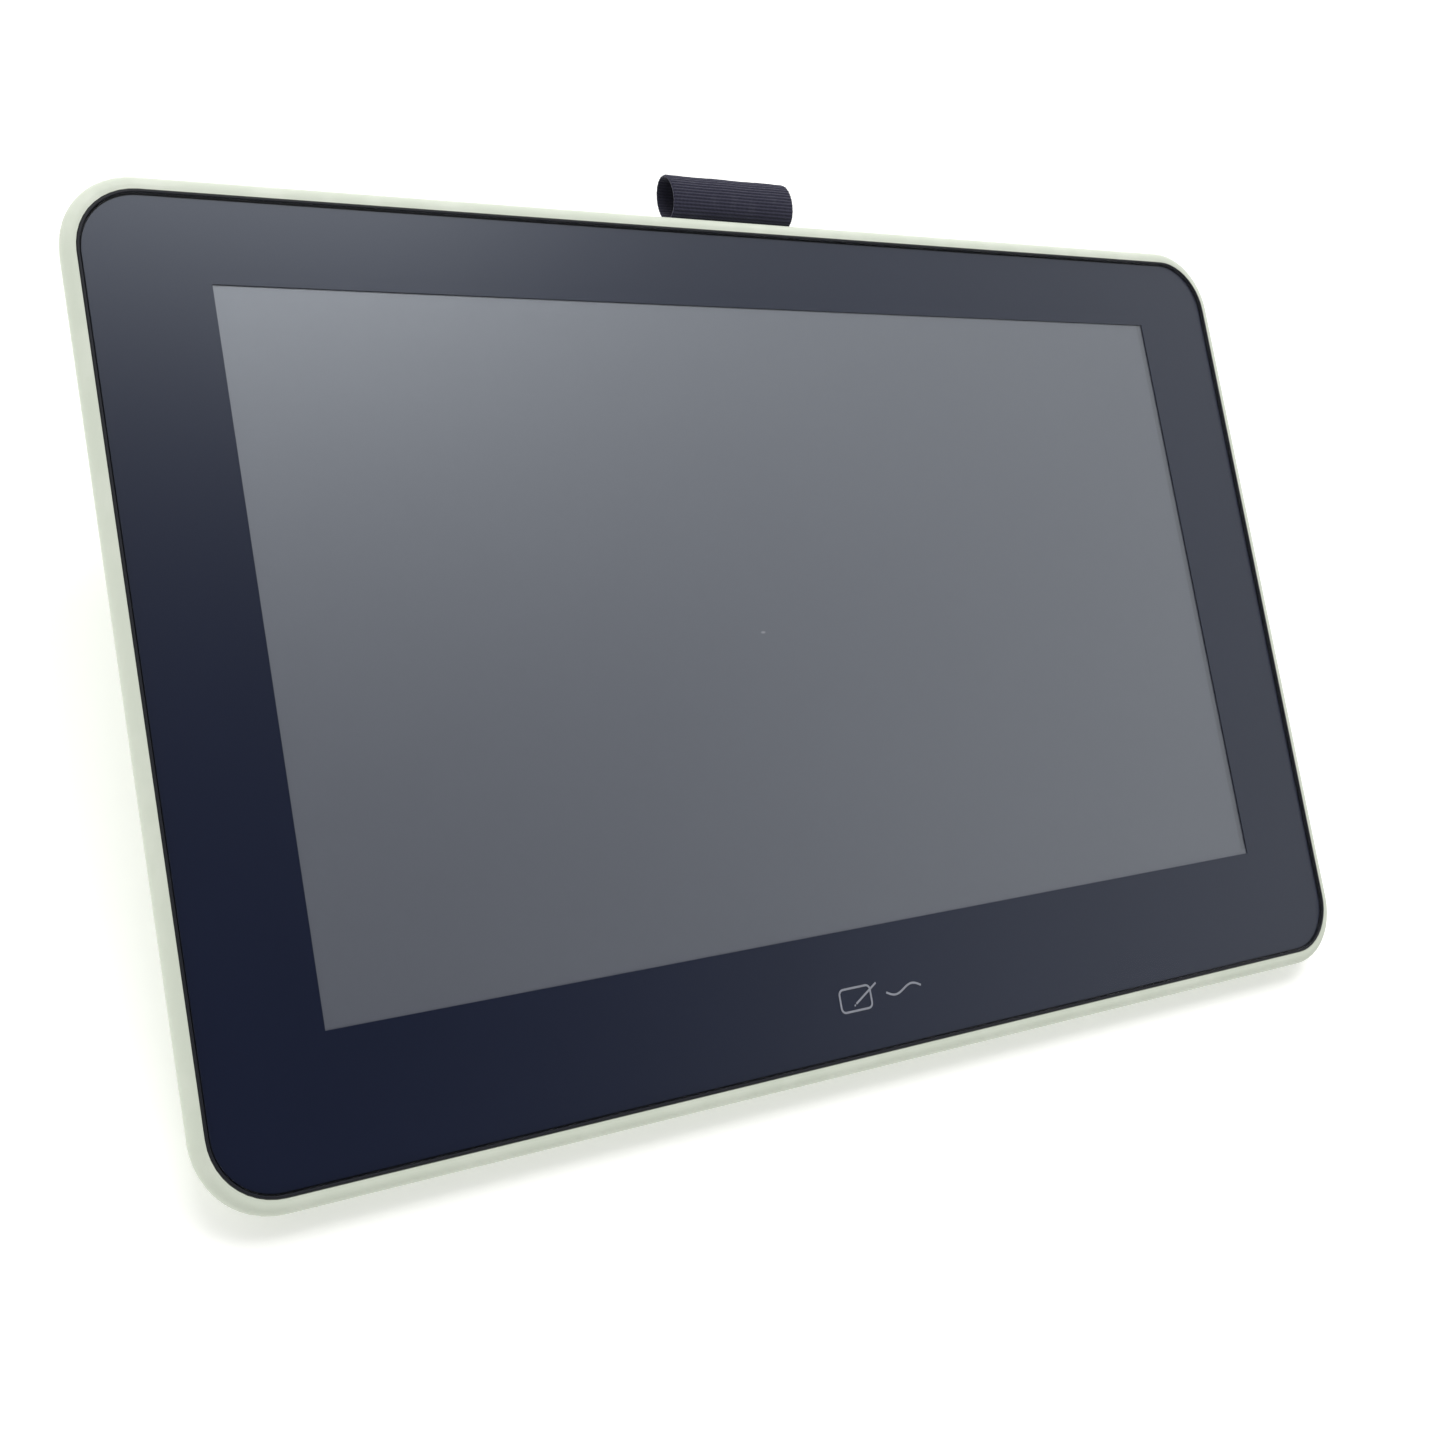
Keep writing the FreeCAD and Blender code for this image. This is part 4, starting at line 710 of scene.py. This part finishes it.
dress(make_rubber(), "front_foot_left", "front_foot_right", "rear_foot_left", "rear_foot_right",
      "leg_tip_left", "leg_tip_right", "nib_holder")
dress(make_nib_plastic(), "spare_nibs")
dress(make_frosted(), "light_pipe")
dress(make_lamp(), "status_led")

# %% [markdown]
# ## Lines made of points
#
# The pen loop, the border and the mark all start as a line drawn flat. An arc gives round
# stretches. A closed line can be stepped off evenly, so that a pattern keeps its pitch all the
# way round, and relaxed, which moves each point towards its neighbours and softens the kinks.

# %% Arcs, even steps and soft bends
def arc(centre, radius, start, stop, count, depth=None):
    """Points on part of a circle or an oval, with angles in degrees."""
    points = []
    for step in range(count):
        angle = math.radians(start + (stop - start) * step / (count - 1))
        run = radius * math.cos(angle)
        points.append(Vector((centre[0] + run, centre[1] + (depth or radius) * math.sin(angle))))
    return points


CLOSE_ENOUGH = 1e-9


def even_points(points, spacing):
    """The same closed line as evenly spaced points."""
    total = sum((points[k] - points[k - 1]).length for k in range(len(points)))
    count = round(total / spacing)
    step = total / count
    result = []
    left = 0.0
    for k, start in enumerate(points):
        stop = points[(k + 1) % len(points)]
        length = (stop - start).length
        while left < length - CLOSE_ENOUGH and len(result) < count:
            result.append(start.lerp(stop, left / length))
            left += step
        left -= length
    return result


def relax(points, rounds):
    """The same closed line with its kinks softened."""
    for _ in range(rounds):
        count = len(points)
        points = [(points[k - 1] + points[k] * 2 + points[(k + 1) % count]) / 4 for k in range(count)]
    return points


print("lines can be drawn")

# %% [markdown]
# ## Pen loop: the path of the band
#
# The loop is one band of ribbed webbing. It starts round a hidden steel rod, leaves the cover
# through a slot as two layers pressed together, and opens into an oval sleeve that holds a pen.
# Seen from the side that is a closed line, so the line comes first: an arc round the rod, two
# straight layers and most of an oval. Relaxing turns the kinks at the slot into the soft bends
# that cloth makes.

# %% Draw the band's middle line, in millimetres, seen along the loop
ROD_SPOT = (105.2, 5.83)
ROD_BEND = 1.0
SLOT_ROOT = 107.4
SLOT_MOUTH = 112.2
SLEEVE_SPOT = (119.25, 7.60)
SLEEVE_RISE = 5.85
SLEEVE_DEPTH = 3.95
SLEEVE_REACH = 146
LAYER = 0.36
RIB = 0.84
SAMPLES_PER_RIB = 6
SOFTENING = 24

upper = ROD_SPOT[1] + LAYER
lower = ROD_SPOT[1] - LAYER
band_line = arc(ROD_SPOT, ROD_BEND, 300, 60, 16)
band_line += [Vector((SLOT_ROOT, upper)), Vector((SLOT_MOUTH, upper))]
band_line += arc(SLEEVE_SPOT, SLEEVE_RISE, SLEEVE_REACH, -SLEEVE_REACH, 120, SLEEVE_DEPTH)
band_line += [Vector((SLOT_MOUTH, lower)), Vector((SLOT_ROOT, lower))]
band_line = relax(even_points(band_line, RIB / SAMPLES_PER_RIB), SOFTENING)
band_length = sum((band_line[k] - band_line[k - 1]).length for k in range(len(band_line)))
print("band", round(band_length, 1), "mm round,", len(band_line), "points")

# %% [markdown]
# ## Pen loop: ribs and edges
#
# Webbing like this has a cord under every rib, so ribs are real height and not a picture of
# it. They stand up on the sleeve and are pressed nearly flat inside the slot. The two long edges
# are turned and heat-sealed: the band gets thinner and rounder over its last half millimetre.
# A little unevenness along the band keeps it cloth rather than pipe.

# %% Shape the band's section
LOOP_HALF = 19.25
THICKNESS = 0.62
RIB_HEIGHT = 0.20
SEAL_WIDTH = 0.5
SEAL_THIN = 0.45
PRESSED_RIB = 0.25
INNER_RIB = 0.4
OPENS_OVER = 2.5
EDGE_STEPS = [0.0, 0.05, 0.15, 0.3, 0.5, 0.8]
INNER_STEPS = 26


def stations():
    """Places across the band, close together at both edges."""
    inner = [LOOP_HALF * 2 * k / INNER_STEPS for k in range(1, INNER_STEPS)]
    return ([-LOOP_HALF + part for part in EDGE_STEPS + inner]
            + [LOOP_HALF - part for part in reversed(EDGE_STEPS)])


def outward(points, k):
    """The direction out of the band's outer face at one of its points."""
    run = points[(k + 1) % len(points)] - points[k - 1]
    return Vector((-run.y, run.x)).normalized()


def sway(x, k, free):
    """How far the cloth strays from its middle line: two slow waves, held still in the slot."""
    turn = k / len(band_line)
    return 0.05 * free * math.sin(0.42 * x + 5 * turn) + 0.03 * free * math.sin(1.7 * x + 0.6 * k)


def section(x, k):
    """The band's two faces at one point, and how high the rib is there."""
    spot = band_line[k]
    seal = math.sqrt(max(0.0, 1 - max(0.0, 1 - (LOOP_HALF - abs(x)) / SEAL_WIDTH) ** 2))
    half = THICKNESS / 2 * (SEAL_THIN + (1 - SEAL_THIN) * seal)
    free = min(1.0, max(0.0, (spot.x - SLOT_MOUTH) / OPENS_OVER))
    wave = 0.5 + 0.5 * math.cos(2 * math.pi * k / SAMPLES_PER_RIB)
    rib = (wave - 0.5) * RIB_HEIGHT
    normal = outward(band_line, k)
    drift = sway(x, k, free)
    top = spot + normal * (half + rib * (PRESSED_RIB + (1 - PRESSED_RIB) * free) * seal + drift)
    low = spot - normal * (half + rib * INNER_RIB * free - drift)
    return top, low, wave


print("band has", len(stations()), "stations across")

# %% [markdown]
# ## Pen loop: the mesh
#
# At each station across the band stand two closed rings of points, one for each face. Faces join
# a ring to the next station's ring, and at both edges they join the outer ring to the inner one,
# which closes the cloth. A number on each point says how high it lies on its rib: the yarn uses
# it to paint shade into the grooves, and the inner face's numbers are scaled down.

# %% Weave the band
# The inner face's rib numbers are scaled down by this share, so the inner face gets more of the painted
# groove shade.
INNER_RIDGE_SHARE = 0.6


def make_loop():
    mesh = bpy.data.meshes.new("pen_loop_webbing")
    web = bmesh.new()
    rows = []
    ridges = []
    count = len(band_line)
    for x in stations():
        outer, inner = [], []
        for k in range(count):
            top, low, wave = section(x, k)
            outer.append(web.verts.new(place(x, top.x, top.y)))
            inner.append(web.verts.new(place(x, low.x, low.y)))
            ridges += [wave, wave * INNER_RIDGE_SHARE]
        rows.append((outer, inner))
    for (outer, inner), (next_outer, next_inner) in zip(rows, rows[1:]):
        for k in range(count):
            after = (k + 1) % count
            web.faces.new((outer[k], outer[after], next_outer[after], next_outer[k]))
            web.faces.new((inner[k], next_inner[k], next_inner[after], inner[after]))
    for (outer, inner), flip in ((rows[0], False), (rows[-1], True)):
        for k in range(count):
            after = (k + 1) % count
            quad = (outer[k], inner[k], inner[after], outer[after])
            web.faces.new(quad[::-1] if flip else quad)
    bmesh.ops.recalc_face_normals(web, faces=web.faces)
    web.to_mesh(mesh)
    web.free()
    mesh.polygons.foreach_set("use_smooth", [True] * len(mesh.polygons))
    mesh.attributes.new("ridge", "FLOAT", "POINT").data.foreach_set("value", ridges)
    loop = bpy.data.objects.new("pen_loop_band", mesh)
    bpy.context.scene.collection.objects.link(loop)
    return loop


loop = make_loop()
print("webbing", len(loop.data.polygons), "faces")

# %% [markdown]
# ## Pen loop: the yarn
#
# Charcoal polyester with a blue cast. Fine warp yarns run the long way of the band and cross
# every rib, so a second, finer pattern lies at right angles to the ribs. Fibres that stand up
# catch light at a glancing angle, which is what the sheen is for. Scattered patches are rubbed
# paler. The grooves between the ribs are painted shade, darker than the tops, so the mesh
# carries a number that says how high each point lies.

# %% Webbing yarn
WARP_PITCH = 0.42


def make_yarn():
    finish = Finish("loop_webbing_yarn")
    spot = tablet_place(finish)
    [x] = split(finish, spot, "X")
    warp = abs((x % WARP_PITCH) - WARP_PITCH / 2) * (2 / WARP_PITCH)
    ridge = finish.add("ShaderNodeAttribute", {"attribute_name": "ridge"}, output="Fac")
    fuzz = grain(finish, spot, 0.12, 3.0)
    worn = ease(finish, grain(finish, spot, 3.5, 2.0), 0.5, 0.75)
    base = mixed(finish, warp, colour(0.008, 0.008, 0.024), colour(0.034, 0.033, 0.066))
    base = mixed(finish, fuzz * 0.3, base, colour(0.052, 0.050, 0.078))
    base = mixed(finish, worn * 0.25, base, colour(0.085, 0.085, 0.115))
    # Painted shade: the lower a point lies on its rib, the darker it is, down to near black in the grooves.
    base = mixed(finish, (1 - ridge) * 0.75, base, colour(0.005, 0.005, 0.013))
    height = warp * 0.6 + fuzz * 0.4
    return close(finish, shade(finish, Base_Color=base, Roughness=0.86 + fuzz * 0.1, Sheen_Weight=0.4,
                               Sheen_Roughness=0.45, Sheen_Tint=colour(0.75, 0.75, 0.85),
                               Specular_IOR_Level=0.25, Normal=bumped(finish, height, 0.07)))


loop.data.materials.append(make_yarn())
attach(loop, "tablet")
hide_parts("pen_loop")
band_length * MM
print("pen loop cut", round(2 * LOOP_HALF, 1), "by", round(band_length, 1), "mm")

# %% [markdown]
# ## The printed border as a film
#
# The border and the glass meet exactly, face on face. Two faces in the same place confuse a
# renderer, which can't tell which one a ray meets first, so the print is drawn once more as a
# film that reaches three hundredths of a millimetre into the glass, and stands for the border.
# Its outer edges are measured on the border itself, and the window's edges and the corners are
# those of the design.

# %% Draw the border film
WINDOW = (-146.88, 146.88, -76.97, 88.27)
WINDOW_CORNER = 0.05
INK_CORNER = 13.95
CORNER_STEPS = 17
FILM_DEPTH = 0.03


def span(name):
    """A piece's least and greatest place along each of the tablet's directions, in millimetres."""
    spots = [(corner.co - MIDDLE) / MM for corner in nodes[name].data.vertices]
    return [(min(spot.dot(way) for spot in spots), max(spot.dot(way) for spot in spots))
            for way in (ACROSS, UP_SCREEN, OUT)]


def rounded_sheet(left, right, bottom, top, radius, steps=7):
    """A closed line round a sheet with rounded corners."""
    corners = ((right - radius, bottom + radius, 270), (right - radius, top - radius, 0),
               (left + radius, top - radius, 90), (left + radius, bottom + radius, 180))
    line = []
    for x, y, start in corners:
        line += arc((x, y), radius, start, start + 90, steps)
    return line


def make_film():
    (left, right), (bottom, top), (back, front) = span("ink_border")
    outer = rounded_sheet(left, right, bottom, top, INK_CORNER, CORNER_STEPS)
    inner = rounded_sheet(*WINDOW, WINDOW_CORNER, CORNER_STEPS)
    face = front + FILM_DEPTH
    mesh = bpy.data.meshes.new("border_film")
    film = bmesh.new()
    rings = []
    for line, level in ((outer, face), (inner, face), (inner, back), (outer, back)):
        rings.append([film.verts.new(place(spot.x, spot.y, level)) for spot in line])
    for ring, following in zip(rings, rings[1:] + rings[:1]):
        for k in range(len(outer)):
            after = (k + 1) % len(outer)
            film.faces.new((ring[k], ring[after], following[after], following[k]))
    bmesh.ops.recalc_face_normals(film, faces=film.faces)
    film.to_mesh(mesh)
    film.free()
    piece = bpy.data.objects.new("border_film", mesh)
    bpy.context.scene.collection.objects.link(piece)
    return piece


film = make_film()
film.data.materials.append(border_ink)
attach(film, "tablet")
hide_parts("ink_border")
print("border film", len(film.data.polygons), "faces")

# %% [markdown]
# ## The mark under the screen
#
# Such tablets carry a small pale print in the lower border. This one is a plain pictogram: a
# sheet with rounded corners, a pen laid across it and the line that the pen has drawn. It is
# printed like the border, behind the glass, so it is a set of flat strokes just in front of the
# ink. Each stroke is a ribbon of constant width along a line.

# %% Strokes of a print
MARK_MIDDLE = (0.9, -94.35)
STROKE = 0.54
PRINT_LEVEL = 11.97
PRINT_THICKNESS = 0.02


def drawn_swell(start, stop, rise, count):
    """The loose line that a pen leaves: one long, low swell."""
    line = []
    for step in range(count):
        share = step / (count - 1)
        line.append(Vector((start + (stop - start) * share, -rise * math.sin(share * 2 * math.pi))))
    return line


def ribbon(mesh, line, width, closed):
    """A flat stroke: each point of the line becomes two, one on each side."""
    pairs = []
    total = len(line)
    for k, spot in enumerate(line):
        before = line[k - 1] if closed or k else spot
        after = line[(k + 1) % total] if closed or k < total - 1 else spot
        run = (after - before).normalized()
        side = Vector((-run.y, run.x)) * width / 2
        pairs.append([mesh.verts.new(place(MARK_MIDDLE[0] + end.x, MARK_MIDDLE[1] + end.y, PRINT_LEVEL))
                      for end in (spot - side, spot + side)])
    for k in range(total if closed else total - 1):
        low, high = pairs[k], pairs[(k + 1) % total]
        mesh.faces.new((low[0], high[0], high[1], low[1]))


print("strokes", STROKE, "mm wide")

# %% [markdown]
# ## The mark's four strokes
#
# The sheet is one closed stroke. The pen is a long stroke with a short, narrower one for its
# nib, and what it has drawn is one long, low swell. All lengths are millimetres from the mark's
# middle. Solidify is asked for a thickness, but it moves faces along their normals, and faces
# just made have none worked out. So every stroke ends as two faces back to back in one plane, and
# the print stays flat.

# %% Print the pictogram
SHEET_EDGES = (-13.2, -3.4, -2.9, 2.9)
SHEET_CORNER = 1.3
PEN = ((-8.4, -1.2), (-1.2, 3.0))
NIB = ((-9.0, -1.75), (-8.7, -1.32))
NIB_SHARE = 0.7
SWELL = (1.6, 13.2, 1.0, 48)


def make_mark():
    mesh = bpy.data.meshes.new("printed_mark")
    strokes = bmesh.new()
    ribbon(strokes, rounded_sheet(*SHEET_EDGES, SHEET_CORNER), STROKE, True)
    ribbon(strokes, [Vector(end) for end in PEN], STROKE, False)
    ribbon(strokes, [Vector(end) for end in NIB], STROKE * NIB_SHARE, False)
    ribbon(strokes, drawn_swell(*SWELL), STROKE, False)
    bmesh.ops.solidify(strokes, geom=strokes.faces, thickness=PRINT_THICKNESS * MM)
    bmesh.ops.recalc_face_normals(strokes, faces=strokes.faces)
    strokes.to_mesh(mesh)
    strokes.free()
    mark = bpy.data.objects.new("printed_mark", mesh)
    bpy.context.scene.collection.objects.link(mark)
    return mark


def make_print():
    finish = Finish("mark_print")
    spot = tablet_place(finish)
    raster = grain(finish, spot, 0.3, 2.0)
    base = mixed(finish, raster, colour(0.42, 0.43, 0.49), colour(0.50, 0.51, 0.57))
    return close(finish, shade(finish, Base_Color=base, Roughness=0.6 + raster * 0.1))


mark = make_mark()
mark.data.materials.append(make_print())
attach(mark, "tablet")
print("mark", len(mark.data.polygons), "faces")

# %% [markdown]
# ## Camera
#
# The view is from the front left, above the tablet, with the screen turned away to the right.
# The lens is a little long. A camera that looks straight at the screen would need no turn, so
# its tilt, swing and roll are given from there, in degrees, along the tablet's directions.

# %% Set the camera
CAMERA_SPOT = (-292.41, -65.33, 392.84)
CAMERA_TURN = (12.0418, -32.7319, -11.7587)
LENS = 46.30
SENSOR = 36.0
NEAREST = 0.01

lens = bpy.data.cameras.new("camera")
lens.lens = LENS
lens.sensor_width = SENSOR
lens.clip_start = NEAREST
camera = bpy.data.objects.new("camera", lens)
facing = Matrix((ACROSS, UP_SCREEN, OUT)).transposed()
turn = facing @ Euler([math.radians(part) for part in CAMERA_TURN]).to_matrix()
camera.matrix_world = Matrix.Translation(place(*CAMERA_SPOT)) @ turn.to_4x4()
bpy.context.scene.collection.objects.link(camera)
bpy.context.scene.camera = camera
print("camera at", tuple(round(part, 4) for part in camera.matrix_world.translation))

# %% [markdown]
# ## Desk
#
# A plain pale desk runs out of sight on every side. It glows a little, as a lit white table
# does, so that the shadow under the tablet stays soft and pale.

# %% Lay the desk
DESK_HALF = 40.0


def make_desk():
    finish = Finish("pale_desk")
    spot = finish.add("ShaderNodeTexCoord", output="Object")
    cloud = grain(finish, spot, 0.6, 2.0)
    base = mixed(finish, cloud, colour(0.90, 0.90, 0.885), colour(0.93, 0.93, 0.915))
    return close(finish, shade(finish, Base_Color=base, Roughness=0.75 + cloud * 0.1,
                               Specular_IOR_Level=0.1, Emission_Color=colour(1.0, 1.0, 0.99),
                               Emission_Strength=0.26))


surface = bpy.data.meshes.new("desk")
sheet = bmesh.new()
bmesh.ops.create_grid(sheet, x_segments=4, y_segments=4, size=DESK_HALF)
sheet.to_mesh(surface)
sheet.free()
desk = bpy.data.objects.new("desk", surface)
desk.data.materials.append(make_desk())
bpy.context.scene.collection.objects.link(desk)
print("desk laid")

# %% [markdown]
# ## Light
#
# One wide softbox hangs above and behind the tablet, in a room that is bright behind and dim
# straight out from the screen. The dim side matters: an etched glass shows the room as a blur, so
# the dark corner of the border is the dim room and the pale corner is the softbox.

# %% Light the room
SOFTBOX_SPOT = (0.12, 0.80, 1.70)
SOFTBOX_AIM = (0.0, 0.0, 0.05)
SOFTBOX_SIZE = (1.7, 1.05)
SOFTBOX_POWER = 21.0
ROOM_LEVEL = 0.71
DIMMING = 0.675
DIM_SIDE = Vector((0.12, -0.31, 0.90)).normalized()


def make_room():
    room = Finish("room", "worlds")
    way = room.add("ShaderNodeTexCoord", output="Generated")
    near_dim = room.add("ShaderNodeVectorMath", {"operation": "DOT_PRODUCT"},
                        {"Vector": way, "Vector_001": DIM_SIDE}, "Value")
    x, y, z = split(room, way)
    sides = ease(room, x * -1, 0.1, 0.8) * 0.08 + ease(room, x, 0.5, 0.9) * 0.10
    back = ease(room, y, -0.12, 0.35) * 0.34
    low = ease(room, z, 0.32, 0.06) * 0.34
    dimmed = ease(room, near_dim, 0.79, 0.96) * DIMMING
    strength = ROOM_LEVEL + sides + back * (1 - low) + low - dimmed
    glow = room.add("ShaderNodeBackground", inputs={"Color": colour(1.0, 1.0, 0.985), "Strength": strength})
    return close(room, glow, "ShaderNodeOutputWorld")


def hang_softbox():
    lamp = bpy.data.lights.new("softbox_above", "AREA")
    lamp.shape = "RECTANGLE"
    lamp.size, lamp.size_y = SOFTBOX_SIZE
    lamp.energy = SOFTBOX_POWER
    light = bpy.data.objects.new("softbox_above", lamp)
    light.location = SOFTBOX_SPOT
    light.rotation_euler = (Vector(SOFTBOX_AIM) - Vector(SOFTBOX_SPOT)).to_track_quat("-Z", "Y").to_euler()
    bpy.context.scene.collection.objects.link(light)


bpy.context.scene.world = make_room()
hang_softbox()
bpy.context.scene.view_settings.view_transform = "Standard"
bpy.context.scene.view_settings.look = "None"
print("room lit")
